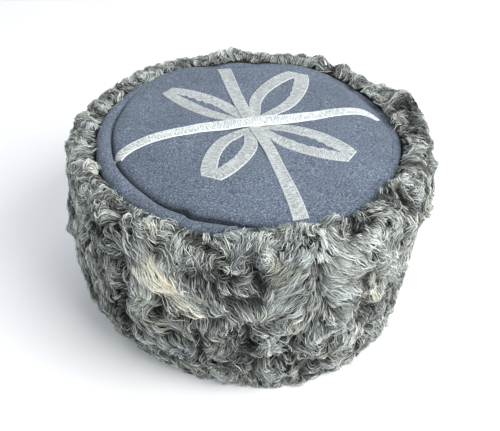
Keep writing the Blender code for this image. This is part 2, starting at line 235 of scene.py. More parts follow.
# Lighter and darker hair, by where it is seen
PATCHES = table(
    "angle way reach light",
    # the left end and the roll there
    (-168, 124, 9, 0.16),
    (-178, 106, 16, 0.12),
    (-160, 88, 18, 0.22),
    (-148, 110, 13, -0.22),
    (-136, 126, 6, 0.14),
    (-135, 107, 7, 0.12),
    (-147, 43, 9, -0.12),
    (-145, 78, 8, 0.06),
    # the bright swoosh and what lies under it
    (-130, 99, 9, 0.20),
    (-126, 88, 7, 0.20),
    (-133, 74, 8, 0.20),
    (-133, 53, 9, 0.18),
    (-125, 58, 6, -0.14),
    (-137, 21, 10, -0.10),
    # the dark lobe
    (-113, 110, 8, -0.14),
    (-118, 99, 8, -0.17),
    (-109, 99, 9, -0.16),
    (-113, 84, 8, 0.02),
    (-102, 102, 7, -0.16),
    (-106, 52, 11, -0.14),
    (-109, 30, 9, -0.08),
    (-93, 24, 10, -0.10),
    (-92, 60, 9, -0.06),
    # the feathers on both sides of the parting
    (-93, 112, 10, 0.08),
    (-94, 92, 10, 0.06),
    (-85, 94, 9, 0.02),
    (-80, 103, 7, 0.09),
    (-79, 84, 8, 0.03),
    (-79, 66, 8, 0.04),
    (-87, 41, 6, -0.10),
    (-99, 38, 8, 0.16),
    (-75, 38, 9, 0.14),
    # the right side
    (-73, 112, 6, 0.24),
    (-76, 120, 5, -0.20),
    (-70, 65, 5, 0.30),
    (-69, 44, 6, -0.14),
    (-62, 70, 14, 0.12),
    (-55, 116, 12, -0.18),
    (-30, 116, 16, -0.16),
    (-22, 92, 16, -0.12),
    (-6, 108, 24, -0.30),
    (32, 118, 18, -0.26),
    (58, 122, 12, -0.10),
)

# Dense, even hair: its strands differ less and its roots are lighter
CALM_PLACES = table(
    "angle way reach",
    (-94, 92, 22),
    (-82, 94, 18),
    (-64, 78, 18),
    (-56, 48, 16),
    (-36, 60, 22),
    (-176, 90, 14),
    (106, 106, 15),
    (124, 106, 17),
    (142, 106, 17),
)

# How far in over the cloth the hair reaches, as a round radius in millimetres
MOUTH_ANGLE = (
    -180, -150, -138, -126, -116, -104, -88, -80, -68, -45, -30, -20, -9, 0,
    12, 25, 33, 40, 55, 68, 77, 84, 91, 100, 110, 130, 150, 180,
)
MOUTH_INNER = (
    95.5, 96, 94, 96.5, 96.5, 91.5, 91.5, 94, 96.5, 95.5, 95.5, 94, 92, 90.5,
    90.5, 91.5, 93, 94, 93, 92, 91, 91, 91, 92, 92.5, 92.5, 93.5, 95.5,
)
# How much higher or lower the roll at the top is, in millimetres, and where along the way this sets in and
# fades, each as a start and a length
ROLL_SETS_IN = (82, 26)
ROLL_FADES = (120, 8)
ROLL_ANGLE = (
    -180, -10, 3, 12, 21, 29, 36, 40, 45, 52, 60, 67, 74,
    78, 81, 84, 89, 96, 104, 114, 124, 137, 150, 165, 180,
)
ROLL_RISE = (
    0, 0, 4.5, -1.5, -4.2, -2.6, -1.0, -5.0, 1.4, -0.8, -0.6, -3.4, -3.2,
    -1.0, 1.8, -0.4, -3.0, -3.8, -2.6, -0.8, -1.0, -2.4, -1.2, 0, 0,
)
# Where hair must stay over the cloth, how far over it, and how far inside the cloth's edge that is measured
CLOTH_SETS_IN = (114, 8)
OVER_CLOTH = 0.4 * MM
INSIDE_EDGE = 1.5 * MM
# How much further out the fur is, in millimetres: a row for each level of SHAPE_WAY
SHAPE_WAY = (4, 36, 72, 97, 122)
SHAPE_ANGLE = (-180, -160, -140, -120, -100, -75, -50, -30, -10, 8, 20, 45, 90, 135, 160, 180)
SHAPE_OUT = (
    (0.5, -0.5, -3.5, -4, -2, -1, -3.5, -5, -5, -4, -3.5, -2, 0, 0, 0, 0.5),
    (3, 3.5, 2, -0.5, 0, -1, -4.5, -4.8, -4.5, -4, -3.5, -2, 0, 0, 1.5, 3),
    (1.5, 1.5, 0.5, 0, 0, -0.5, -3.5, -5.5, -5.5, -4.5, -3, -1, 0, 0, 0.5, 1.5),
    (-5, -3.5, -0.5, 0, 0, 0, 0, -1, 1, 4, 1, 0, 0, -0.5, -3, -5),
    (0, 0, 0, 0, 0, 0, 0, 0, 0, 0, 0, 0, 0, 0, 0, 0),
)

# Cream hair, and tan hair at its roots, by where it is seen
CREAM_TUFTS = table(
    "angle way reach share",
    (-129.0, 98, 6.0, 1.0),
    (-127.0, 93, 7.0, 1.0),
    (-125.5, 85, 7.0, 1.0),
    (-131.0, 90, 7.0, 0.5),
    (-121.0, 78, 3.5, 0.8),
    (-117.0, 73, 3.5, 0.9),
    (-70.0, 66, 4.0, 0.7),
    (-62.0, 84, 5.0, 0.3),
    (-168.0, 124, 5.0, 0.2),
)
TAN_ROOTS = table(
    "angle way reach",
    (-124.0, 92, 2.6),
    (-125.0, 89, 2.2),
)

# Tints of the hair from cool to warm, as shares of red, green and blue, and where it is warmer or cooler
TINTS = (
    (0.968, 0.988, 1.034),
    (0.990, 0.997, 1.008),
    (1.010, 1.000, 0.980),
    (1.035, 1.010, 0.930),
    (1.070, 1.020, 0.860),
)
PLAIN_TINT = 2
WARM_PLACES = table(
    "angle way reach warmth",
    (-131, 70, 24, 1.0),
    (-160, 60, 22, 0.5),
    (-66, 66, 16, 0.8),
    (-30, 70, 26, 0.6),
    (-108, 96, 16, -0.4),
)

# Rosettes: the hair turns round a middle, as seen from outside clockwise where spin is -1
ROSETTES = table(
    "angle way reach spin light",
    (-118, 108, 9, -1, 0.06),
    (-112, 106, 7, 1, 0.02),
    (-106, 110, 6, 1, 0.08),
    (-107, 41, 11, 1, -0.10),
    (-107, 63, 6, -1, -0.06),
    (-114, 22, 8, -1, 0.04),
    (-98, 46, 7, 1, -0.02),
    (-91, 40, 6, -1, -0.04),
    (-85, 30, 6, 1, 0.00),
    (-92, 22, 6, 1, -0.02),
    (-80, 16, 6, -1, 0.04),
    (-73, 22, 6, 1, 0.02),
    (-63, 70, 7, -1, 0.00),
    (-57, 92, 7, 1, 0.02),
    (-66, 40, 7, 1, -0.04),
    (-54, 50, 8, -1, 0.04),
    (-100, 112, 6, -1, 0.08),
    (-150, 106, 8, 1, -0.06),
    (-158, 100, 7, -1, -0.02),
    (-126, 32, 7, 1, -0.04),
)

# Dark lines where the fur parts or a lock ends, each from one place to another. The hair dips and is shorter
# there, and its colour is darkened with painted shade
VALLEYS = table(
    "from_angle from_way to_angle to_way width depth",
    (-139, 100, -142, 66, 3.2, 1.0),
    (-142, 66, -146, 8, 3.6, 1.0),
    (-119, 66, -112, 71, 2.2, 1.0),
    (-112, 71, -104, 88, 2.4, 1.0),
    (-104, 114, -101.5, 96, 2.4, 0.9),
    (-101.5, 96, -103, 82, 3.4, 1.2),
    (-105, 66, -105, 50, 2.2, 0.9),
    (-118.5, 60, -118.5, 40, 2.0, 1.1),
    (-112, 106, -113, 96, 2.4, 0.8),
    (-87.5, 96, -87.5, 88, 2.4, 0.8),
    (-73.5, 88, -73, 46, 2.2, 0.9),
    (-69, 54, -62, 56, 3.0, 0.9),
    (-68, 78, -64, 84, 2.6, 0.8),
    (-75, 118, -70, 122, 3.0, 0.9),
    (-95, 44, -97, 28, 2.0, 0.8),
    (-153, 100, -150, 60, 2.6, 0.8),
    (-160, 84, -157, 20, 2.6, 0.7),
    (-124, 50, -121, 46, 3.0, 0.7),
    # behind and at the far sides, where the photo doesn't reach
    (-14, 112, -8, 6, 2.8, 0.8),
    (50, 112, 44, 6, 2.6, 0.7),
    (94, 112, 100, 6, 2.8, 0.8),
    (164, 112, 158, 6, 2.6, 0.7),
)


# Reading the tables


def column(rows, key):
    """One value of every row of a table."""
    return np.array([row[key] for row in rows], float)


def smooth(part):
    part = np.clip(part, 0, 1)
    return part * part * (3 - 2 * part)


def sets_in(value, start, length):
    """0 up to a start and 1 from a length past it, both in millimetres."""
    return smooth((value - start * MM) / (length * MM))


def curve_through(x, y, at):
    """A smooth curve through points, read at several places. Past its ends it stays level."""
    x, y, at = np.asarray(x, float), np.asarray(y, float), np.clip(at, x[0], x[-1])
    index = np.clip(np.searchsorted(x, at, side="right") - 1, 0, len(x) - 2)
    before, after = np.maximum(index - 1, 0), np.minimum(index + 2, len(x) - 1)
    span = x[index + 1] - x[index]
    slope_in = (y[index + 1] - y[before]) / (x[index + 1] - x[before])
    slope_out = (y[after] - y[index]) / (x[after] - x[index])
    part = (at - x[index]) / span
    square, cube = part**2, part**3
    return (
        (2 * cube - 3 * square + 1) * y[index]
        + (cube - 2 * square + part) * span * slope_in
        + (3 * square - 2 * cube) * y[index + 1]
        + (cube - square) * span * slope_out
    )


def turn_between(angle, other):
    """The turn from one angle to another in degrees, from -180 to 180."""
    return (angle - other + 180) % 360 - 180


def oval(angle):
    """The share by which a round radius grows at an angle in degrees."""
    return 1 - OVALITY * np.cos(2 * np.radians(angle))


# Where the hair lies


def hair_section():
    """Way, radius and height of the surface that the hair lies on, from the foot to over the cloth."""
    at = np.linspace(0, len(FUR_SECTION) - 1, 300)
    rows = np.arange(len(FUR_SECTION))
    out = curve_through(rows, column(FUR_SECTION, "out"), at)
    up = np.clip(curve_through(rows, column(FUR_SECTION, "up"), at), 0, 1)
    radius = HEAD_RADIUS + MOUTH_FLARE + (BAND_THICKNESS - MOUTH_FLARE) * out
    height = BAND_HEIGHT * up
    radius = np.append(radius, column(OVER_THE_CLOTH, "radius") * MM)
    height = np.append(height, column(OVER_THE_CLOTH, "height") * MM)
    way = np.append(0, np.cumsum(np.hypot(np.diff(radius), np.diff(height))))
    even = np.arange(0, way[-1], 0.5 * MM)
    return even, np.interp(even, way, radius), np.interp(even, way, height)


def steadied(values, places=13):
    """A running mean over an odd number of places."""
    return np.convolve(np.pad(values, places // 2, mode="edge"), np.ones(places) / places, mode="valid")


WAY, RADIUS, HEIGHT = hair_section()
# The outward direction across the section, steadied so that hair fans evenly over the roll
OUT_RADIUS = steadied(np.gradient(HEIGHT, WAY))
OUT_HEIGHT = steadied(-np.gradient(RADIUS, WAY))


def further_out(around, way):
    """How much further out the fur is at a place, between the levels of SHAPE_OUT."""
    level = np.interp(way / MM, SHAPE_WAY, np.arange(len(SHAPE_WAY)))
    total = 0
    for index, values in enumerate(SHAPE_OUT):
        total = total + curve_through(SHAPE_ANGLE, values, around) * smooth(1 - np.abs(level - index))
    return total * MM


def outward(way):
    """The direction out of the fur: its shares along the radius and up."""
    out_radius, out_height = np.interp(way, WAY, OUT_RADIUS), np.interp(way, WAY, OUT_HEIGHT)
    norm = np.hypot(out_radius, out_height)
    return out_radius / norm, out_height / norm


def around_the_hat(angle, radius, height):
    turn = np.radians(angle)
    return np.stack([radius * np.cos(turn), radius * np.sin(turn), height], axis=-1)


def place_on_fur(angle, way, lift):
    """The point at an angle and a way, lifted off the surface that the hair lies on."""
    out_radius, out_height = outward(way)
    around = turn_between(angle, 0)
    radius = np.interp(way, WAY, RADIUS) + further_out(around, way)
    rise = curve_through(ROLL_ANGLE, ROLL_RISE, around) * MM
    rise = rise * sets_in(way, *ROLL_SETS_IN) * (1 - 0.8 * sets_in(way, *ROLL_FADES))
    height = np.interp(way, WAY, HEIGHT) + rise
    cloth = crown_height(angle, np.minimum(radius, edge_radius() - INSIDE_EDGE)) + OVER_CLOTH
    height = height + np.maximum(cloth - height, 0) * sets_in(way, *CLOTH_SETS_IN)
    return around_the_hat(angle, (radius + lift * out_radius) * oval(angle), height + lift * out_height)


def out_of_fur(angle, way):
    """The direction out of the fur at an angle and a way, in x, y and z."""
    return around_the_hat(angle, *outward(way))


# The field that combs the fur


def waves(rng, angle, way, shortest, longest, count):
    """Smooth noise round the hat, about from -1 to 1: waves between two lengths in millimetres."""
    total = np.zeros(np.broadcast(angle, way).shape)
    for _ in range(count):
        length = rng.uniform(shortest * MM, longest * MM)
        tilt = rng.uniform(0, math.tau)
        around = round(math.tau * FUR_RADIUS / length * math.cos(tilt))
        along = math.tau / length * math.sin(tilt)
        total += np.cos(around * np.radians(angle) + along * way + rng.uniform(0, math.tau))
    return total / math.sqrt(count / 2) / 1.6


def nearness(angle, way, row):
    """1 at a row's place and less away from it, and how far away that is round the hat and along its way."""
    aside = np.radians(turn_between(angle, row["angle"])) * FUR_RADIUS
    above = way - row["way"] * MM
    return np.exp(-(aside**2 + above**2) / (row["reach"] * MM) ** 2), aside, above


def valley_depth(angle, way):
    """How deep the dark lines are at each place."""
    deepest = np.zeros(np.broadcast(angle, way).shape)
    for row in VALLEYS:
        start_way, end_way = row["from_way"] * MM, row["to_way"] * MM
        run_around = math.radians(row["to_angle"] - row["from_angle"]) * FUR_RADIUS
        run_along = end_way - start_way
        aside = np.radians(turn_between(angle, row["from_angle"])) * FUR_RADIUS
        above = way - start_way
        part = np.clip((aside * run_around + above * run_along) / (run_around**2 + run_along**2), 0, 1)
        away = np.hypot(aside - part * run_around, above - part * run_along)
        deepest = np.maximum(deepest, row["depth"] * np.exp(-((away / (row["width"] * MM)) ** 2)))
    return deepest


class Field:
    """Values on a grid over the fur, read between its points."""

    def __init__(self):
        rng = np.random.default_rng(SEED)
        self.columns = round(math.tau * FUR_RADIUS / FIELD_STEP)
        self.rows = math.ceil(WAY[-1] / FIELD_STEP) + 1
        angle = (np.arange(self.columns) * 360 / self.columns - 180)[:, None]
        way = (np.arange(self.rows) * FIELD_STEP)[None, :]
        swirl = waves(rng, angle, way, *SWIRL_WAVES)
        slope_around, slope_along = np.gradient(swirl, FIELD_STEP)
        steepness = np.sqrt((slope_around**2 + slope_along**2).mean())
        around, along = slope_along / steepness, -slope_around / steepness
        along = along - DOWNWARD - DOWN_THE_MOUTH * sets_in(way, 112, 12)
        light = 0.09 * waves(rng, angle, way, *LIGHT_WAVES)
        curl = np.ones_like(swirl)
        bend = waves(rng, angle, way, *BEND_WAVES)
        length = 1 + 0.12 * waves(rng, angle, way, *LENGTH_WAVES)
        relief = waves(rng, angle, way, *RELIEF_WAVES)
        total = np.zeros_like(swirl)
        pulled = [np.zeros_like(swirl), np.zeros_like(swirl)]
        for row in COMBING:
            near, _, _ = nearness(angle, way, row)
            heading = math.radians(row["heading"])
            pulled[0] += near * row["pull"] * math.cos(heading)
            pulled[1] += near * row["pull"] * math.sin(heading)
            total += near * row["pull"]
            light = light + COMBED_LIGHT * near * row["light"]
            curl = curl + near * row["curl"]
            length = length + near * row["length"]
        for row in PATCHES:
            light = light + nearness(angle, way, row)[0] * row["light"]
        for row in ROSETTES:
            near, aside, above = nearness(angle, way, row)
            away = np.hypot(aside, above) + 0.5 * MM
            pulled[0] += ROSETTE_PULL * near * (-row["spin"] * above - ROSETTE_INWARD * aside) / away
            pulled[1] += ROSETTE_PULL * near * (row["spin"] * aside - ROSETTE_INWARD * above) / away
            total += FULL_PULL * near
            light = light + near * row["light"]
        keep = 1 - smooth(total / FULL_PULL)
        around = around * keep + pulled[0]
        along = along * keep + pulled[1]
        size = np.hypot(around, along) + 1e-6
        valley = valley_depth(angle, way)
        calm = np.zeros_like(swirl)
        for row in CALM_PLACES:
            calm = np.maximum(calm, nearness(angle, way, row)[0])
        curl = curl * (1 - 0.5 * calm)
        relief = relief * (1 - 0.4 * calm)
        curl, length = np.clip(curl, 0.1, 1.8), np.clip(length, 0.6, 1.9)
        self.values = np.stack(
            [around / size, along / size, light, curl, length, relief, valley, bend, calm], axis=-1
        )

    def at(self, angle, way):
        """The field's nine values, from AROUND to CALM on the last axis, at angles in degrees and ways."""
        across = (angle + 180) % 360 / 360 * self.columns
        up = np.clip(way / FIELD_STEP, 0, self.rows - 1.001)
        left, low = np.floor(across).astype(int), np.floor(up).astype(int)
        share_across, share_up = (across - left)[..., None], (up - low)[..., None]
        left, right = left % self.columns, (left + 1) % self.columns
        bottom = self.values[left, low] * (1 - share_across) + self.values[right, low] * share_across
        top = self.values[left, low + 1] * (1 - share_across) + self.values[right, low + 1] * share_across
        return bottom * (1 - share_up) + top * share_up


# The hair


def inner_way(angle):
    """How far along its way the hair reaches in over the cloth."""
    inner = curve_through(MOUTH_ANGLE, MOUTH_INNER, turn_between(angle, 0)) * MM
    return MOUTH_WAY + MOUTH_RADIUS - inner


def wisp_roots(rng):
    """Scattered roots, closer together along the edge of the cloth and a little thinner behind the hat."""
    columns = round(math.tau * FUR_RADIUS / WISP_SPACING)
    rows = round(MOUTH_WAY / WISP_SPACING)
    column_index, row_index = np.meshgrid(np.arange(columns), np.arange(rows), indexing="ij")
    across = (column_index + 0.5 * (row_index % 2) + rng.uniform(-0.45, 0.45, column_index.shape)) / columns
    up = (row_index + 0.5 + rng.uniform(-0.45, 0.45, row_index.shape)) / rows
    up = up + 0.10 * np.sin(math.pi * up)
    angle = across * 360 - 180
    angle, way = angle.ravel(), (up * inner_way(angle)).ravel()
    behind = np.abs(turn_between(angle, -100)) > 112
    kept = ~behind | (rng.uniform(size=angle.shape) < BACK_SHARE)
    return angle[kept], way[kept]


def wisp_lines(field, angle, way, length, veer, curl):
    """The middle line of each wisp, stepped along the field: its angle, way and heading at even shares."""
    lines = np.zeros((len(angle), LINE_STEPS, 3))
    here_angle, here_way = angle.copy(), way.copy()
    for step, share in enumerate(np.linspace(0, 1, LINE_STEPS)):
        there = field.at(here_angle, here_way)
        heading = np.arctan2(there[:, ALONG], there[:, AROUND]) + veer + curl * share**1.8
        # near the floor and near the end over the cloth it turns aside
        down = (1 - sets_in(here_way, 0, 10)) * (np.sin(heading) < 0)
        over = sets_in(here_way - inner_way(here_angle), -6, 6) * (np.sin(heading) > 0)
        heading = np.arctan2(np.sin(heading) * (1 - 0.7 * down) * (1 - 1.8 * over), np.cos(heading))
        lines[:, step] = np.stack([here_angle, here_way, heading], axis=-1)
        here_angle = here_angle + np.degrees(np.cos(heading) * length / (LINE_STEPS - 1) / FUR_RADIUS)
        here_way = here_way + np.sin(heading) * length / (LINE_STEPS - 1)
    lines[..., 2] = np.unwrap(lines[..., 2], axis=1)
    return lines


def grow_hair(field):
    """All strands: their points and the directions out of the fur there, half widths, twists and colours."""
    rng = np.random.default_rng(SEED + 1)
    angle, way = wisp_roots(rng)
    count = len(angle)
    spread = (count, STRANDS_PER_WISP)

    def each_wisp(least, most):
        return rng.uniform(least, most, count)[:, None, None]

    def each_strand(least, most):
        return rng.uniform(least, most, spread)[:, :, None]

    root = field.at(angle, way)
    length = rng.uniform(*WISP_LENGTH, count) * MM * root[:, LENGTH]
    length = length * (1 - 0.15 * sets_in(way, 108, 14)) * (1 - 0.35 * root[:, VALLEY])
    strength = rng.choice(CURL_TURNS, count, p=CURL_SHARES) * rng.uniform(0.6, 1.2, count)
    bend = np.clip(root[:, BEND] * 1.6 + rng.normal(0, 0.35, count), -1, 1)
    curl = np.radians(strength) * root[:, CURL] * bend
    hook = np.clip(strength / CURL_TURNS[-1] * root[:, CURL], 0, 1.2) * rng.uniform(0.0, 1.0, count)
    lines = wisp_lines(field, angle, way, length, rng.normal(0, 0.22, count), curl)
    loose = np.clip(root[:, CURL], 0.3, 1.0)[:, None, None]
    length, hook = length[:, None, None], hook[:, None, None]

    # the strands of each wisp, spread round its middle line. t is 0 at their roots and about 1 at their tips
    aside = np.clip(rng.normal(0, 0.55, spread), -1.2, 1.2)[:, :, None]
    depth = each_strand(-1, 1)
    stray = rng.normal(0, 1, spread)
    stray = (stray * np.where(rng.uniform(size=spread) < STRAY_SHARE, STRAY, 0.0))[:, :, None]
    t = STRAND_SHARES * each_strand(0.72, 1.06)
    part = np.clip(t, 0, 1) * (LINE_STEPS - 1)
    low = np.minimum(part.astype(int), LINE_STEPS - 2)
    part = (part - low)[..., None]
    wisp = np.arange(count)[:, None, None]
    line = lines[wisp, low] * (1 - part) + lines[wisp, low + 1] * part
    heading = line[..., 2]
    free = smooth(t / 0.3)

    # how far aside of that line each strand is: its place in the wisp, the wisp's waves and its own frizz
    half_width = each_wisp(*WISP_HALF_WIDTH) * MM
    taper = 1 - each_wisp(0.10, 0.65) * smooth((t - 0.30) / 0.7)
    sideways = aside * half_width * taper
    crimp = each_wisp(*CRIMP) * MM
    crimp_turns = length / each_wisp(*CRIMP_LENGTH) / MM
    crimp_turn = math.tau * (t * crimp_turns + each_wisp(0, 1))
    sideways = sideways + crimp * free * np.sin(crimp_turn)
    frizz = each_strand(*FRIZZ) * MM * loose * free
    frizz_turn = math.tau * (t * length / MM / each_strand(*FRIZZ_LENGTH))
    frizz_turn = frizz_turn + each_strand(0, math.tau)
    sideways = sideways + frizz * np.sin(frizz_turn)
    sideways = sideways + rng.normal(0, 0.15, spread)[:, :, None] * loose * length * t
    sideways = sideways + stray * MM * t**1.5
    strand_angle = line[..., 0] + np.degrees(-np.sin(heading) * sideways / FUR_RADIUS)
    strand_way = line[..., 1] + np.cos(heading) * sideways

    # how light it is: its own tone, with painted shade in valleys and painted light on raised locks and upper
    # strands
    there = field.at(strand_angle, strand_way)
    seen = there[:, :, SEEN_POINT]
    unlike = 1 - 0.6 * seen[..., CALM]
    shade = AVERAGE_SHADE + seen[..., LIGHT] - VALLEY_PAINTED_SHADE * seen[..., VALLEY]
    shade = shade + (RELIEF_PAINTED_LIGHT * seen[..., RELIEF] + LAYER_PAINTED_LIGHT * depth[..., 0]) * unlike
    shade = shade + rng.normal(0, WISP_CHANCE, count)[:, None] * unlike
    shade = shade + rng.normal(0, STRAND_CHANCE, spread) * unlike

    # how far it stands off the surface
    relief = 1.5 * MM * there[..., RELIEF] - 3.0 * MM * there[..., VALLEY]
    arch = np.sin(math.pi * np.clip(t, 0, 1))
    dome = np.sqrt(np.clip(1 - (aside / 1.25) ** 2, 0, 1)) * 0.8 * MM * arch
    root_depth = (ROOT_DEPTH - 2.0 * MM * sets_in(way, 116, 8))[:, None, None]
    rise = smooth(t / 0.32)
    layer = each_wisp(*WISP_LAYER) * MM
    lift = (
        -root_depth * (1 - rise)
        + rise * (layer + depth * 0.7 * MM + dome)
        + hook * 1.5 * MM * arch**2
        - 0.9 * MM * smooth((t - 0.7) / 0.35)
        + 0.5 * frizz * np.cos(frizz_turn)
        + relief
        + np.abs(stray) * 0.6 * MM * t
    )
    over_cloth = sets_in(strand_way, 122, 6)
    least = -0.2 * MM * over_cloth - ROOT_DEPTH * (1 - over_cloth)
    lift = np.where(over_cloth > 0, np.maximum(lift, least), lift)
    points = place_on_fur(strand_angle, np.clip(strand_way, 0, WAY[-1]), lift)
    points[..., 2] = np.maximum(points[..., 2], each_strand(*OFF_THE_FLOOR) * MM)
    fullness = 0.8 + 0.4 * np.sin(math.pi * STRAND_SHARES)
    width = each_strand(*STRAND_HALF_WIDTH) * MM * fullness
    twist = each_strand(-0.7, 0.7) + rng.normal(0, 0.4, spread)[:, :, None] * STRAND_SHARES
    strands = (-1, len(STRAND_SHARES))
    seen_angle, seen_way = strand_angle[:, :, SEEN_POINT], strand_way[:, :, SEEN_POINT]
    shades = shaded(rng, shade, seen_angle, seen_way)
    tints = tinted(seen_angle, seen_way)
    start = np.maximum(0.42 * sets_in(way, 117, 9), 0.30 * root[:, CALM])
    return {
        "points": points.reshape(*strands, 3),
        "out": out_of_fur(strand_angle, strand_way).reshape(*strands, 3),
        "width": np.broadcast_to(width, t.shape).reshape(strands),
        "twist": np.broadcast_to(twist, t.shape).reshape(strands),
        "shade": shades.ravel(),
        "tint": np.where(shades > GREYEST, PLAIN_TINT, tints).ravel(),
        "angle": np.repeat(angle, STRANDS_PER_WISP),
        "start": np.repeat(start, STRANDS_PER_WISP),
    }


def shaded(rng, shade, angle, way):
    """The shades as places on the colour map: greys up to GREYEST, or cream or tan in the bright tufts."""
    cream, tan = np.zeros(angle.shape), np.zeros(angle.shape)
    for row in CREAM_TUFTS:
        cream = np.maximum(cream, row["share"] * nearness(angle, way, row)[0])
    for row in TAN_ROOTS:
        tan = np.maximum(tan, nearness(angle, way, row)[0])
    pick = rng.uniform(size=shade.shape)
    result = np.where(pick < 1.3 * cream, CREAM_SHADE, np.clip(shade, 0.0, 1.0) * GREYEST)
    return np.where(pick > 1 - tan, TAN_SHADE, result)


def tinted(angle, way):
    """A row of TINTS for each strand, in smooth patches of warmer and cooler hair."""
    rng = np.random.default_rng(SEED + 2)
    warmth = 1.8 + 0.9 * waves(rng, angle, way, *TINT_WAVES) + rng.normal(0, 0.7, angle.shape)
    for row in WARM_PLACES:
        warmth = warmth + row["warmth"] * nearness(angle, way, row)[0]
    return np.clip(np.round(warmth), 0, len(TINTS) - 1)


def mesh_from_arrays(name, points, faces, uv=None, layer="OFBake"):
    """A mesh from arrays of points and of faces with as many corners each. uv has a place for each corner."""
    corners = faces.shape[1]
    mesh = bpy.data.meshes.new(name)
    mesh.vertices.add(len(points))
    mesh.vertices.foreach_set("co", points.astype(np.float32).ravel())
    mesh.loops.add(faces.size)
    mesh.loops.foreach_set("vertex_index", faces.astype(np.int32).ravel())
    mesh.polygons.add(len(faces))
    mesh.polygons.foreach_set("loop_start", np.arange(0, faces.size, corners, dtype=np.int32))
    mesh.update(calc_edges=True)
    if uv is not None:
        mesh.uv_layers.new(name=layer, do_init=False)
        mesh.uv_layers[layer].data.foreach_set("uv", uv.astype(np.float32).ravel())
    mesh.shade_smooth()
    obj = bpy.data.objects.new(name, mesh)
    bpy.context.scene.collection.objects.link(obj)
    return obj


def neighbours_round(columns, rows):
    """The first point of each column of a ring, and of the column after it."""
    first = np.arange(columns)[:, None] * rows
    return first, np.roll(first, -1, axis=0)


def quads(near, far, low, high):
    """Faces of four corners between two lines of points, from one row to another."""
    return np.stack([near + low, near + high, far + high, far + low], axis=-1).reshape(-1, 4)


def hair_piece(name, hair, chosen, material):
    """Strands as narrow ribbons that end in a point, with the map that hair_material reads."""
    points, out = hair["points"][chosen], hair["out"][chosen]
    along = np.gradient(points, axis=1)
    along /= np.linalg.norm(along, axis=-1, keepdims=True) + 1e-12
    flat = np.cross(along, out)
    flat /= np.linalg.norm(flat, axis=-1, keepdims=True) + 1e-12
    upright = np.cross(flat, along)
    twist = hair["twist"][chosen][..., None]
    side = (flat * np.cos(twist) + upright * np.sin(twist)) * hair["width"][chosen][..., None]
    count, sections = len(points), len(STRAND_SHARES) - 1
    corners = np.stack([points - side, points + side], axis=2)[:, :-1].reshape(count, -1, 3)
    corners = np.concatenate([corners, points[:, -1:]], axis=1)
    corners[..., 2] = np.maximum(corners[..., 2], 0.1 * MM)
    left = 2 * np.arange(sections - 1)[:, None]
    last = 2 * sections
    faces = np.concatenate([left + (0, 1, 3), left + (0, 3, 2), [(last - 2, last - 1, last)]])
    level = np.clip(np.floor(hair["shade"][chosen] * SHADES), 0, SHADES - 1)[:, None]
    u = (level + np.append(np.tile((0.04, 0.96), sections), 0.5)) / SHADES
    start = hair["start"][chosen][:, None]
    v = start + (1 - start) * np.append(np.repeat(STRAND_SHARES[:-1], 2), 1.0)
    v = (hair["tint"][chosen][:, None] + np.clip(v, 0.02, 0.98)) / len(TINTS)
    uv = np.stack([u, v], axis=-1)[:, faces.ravel()]
    first = np.arange(count)[:, None, None] * corners.shape[1]
    piece = mesh_from_arrays(name, corners.reshape(-1, 3), (first + faces).reshape(-1, 3), uv)
    piece.data.materials.append(material)
    return piece


# The pelt under the hair


def make_pelt(field, fur_material, hide_material):
    """The under-fur that the hair grows from, near-black as dark roots and painted shade between the locks,
    and the plain skin side inside the hat.
    """
    columns, outer_rows = 220, 46
    angle = (np.arange(columns) * 360 / columns)[:, None]
    way = np.linspace(0.5 * MM, 125 * MM, outer_rows)[None, :]
    there = field.at(angle + 0 * way, way + 0 * angle)
    lift = -PELT_DEPTH + (1.2 * there[..., RELIEF] - 1.6 * there[..., VALLEY]) * MM * sets_in(way, 0, 12)
    lift = lift + 1.4 * MM * sets_in(way, 116, 8)
    outer = place_on_fur(angle, way, lift)
    outer[:, 0, 2] = 0.0
    outer[..., 2] = np.maximum(outer[..., 2], 0.0)
    flare = BAND_HEIGHT - MOUTH_DEPTH
    inner_rows = (
        (HEAD_RADIUS + MOUTH_FLARE + 3.0 * MM, BAND_HEIGHT - 2.2 * MM),
        (HEAD_RADIUS + MOUTH_FLARE + 1.2 * MM, BAND_HEIGHT - 3.6 * MM),
        (HEAD_RADIUS + MOUTH_FLARE, BAND_HEIGHT - 7.0 * MM),
        (HEAD_RADIUS, flare),
        (HEAD_RADIUS, flare / 2),
        (HEAD_RADIUS, 3.0 * MM),
        (HEAD_RADIUS + 0.8 * MM, 0.8 * MM),
        (HEAD_RADIUS + 2.0 * MM, 0.0),
    )
    radius, height = np.array(inner_rows).T
    inner = around_the_hat(angle, radius * oval(angle), height + 0 * angle)
    points = np.concatenate([outer, inner], axis=1)
    rows = points.shape[1]
    first, following = neighbours_round(columns, rows)
    row = np.arange(rows)[None, :]
    faces = quads(row, (row + 1) % rows, first, following)
    pelt = mesh_from_arrays("fur_pelt", points.reshape(-1, 3), faces)
    pelt.data.materials.append(fur_material)
    pelt.data.materials.append(hide_material)
    inside = (np.arange(rows) >= outer_rows + 3).astype(np.int32)
    pelt.data.polygons.foreach_set("material_index", np.tile(inside, columns))
    return pelt


# The crown

# From the middle to the crease: shares of the crease's radius, and of the fall to it where the crease is
# sharp and where it is soft
DISC_SHARE = (0.00, 0.42, 0.66, 0.80, 0.88, 0.93, 0.965, 0.985, 0.995, 1.00)
DISC_DROP = (0.00, 0.03, 0.10, 0.19, 0.27, 0.36, 0.48, 0.64, 0.82, 1.00)
SOFT_DROP = (0.00, 0.03, 0.11, 0.24, 0.40, 0.56, 0.72, 0.83, 0.89, 0.93)
# From the crease over the rolled rim: shares of its width, of the rise, of RIM_DROP and of the lip's lean
RIM_SHARE = (0.00, 0.03, 0.08, 0.16, 0.34, 0.60, 0.85, 1.00)
RIM_RISE = (0.00, 0.50, 0.80, 0.96, 1.05, 1.05, 0.95, 0.80)
RIM_FALL = (0.00, 0.00, 0.00, 0.00, 0.00, 0.12, 0.48, 1.00)
RIM_LEAN = (0.00, 0.35, 0.95, 1.00, 0.45, 0.10, 0.00, 0.00)
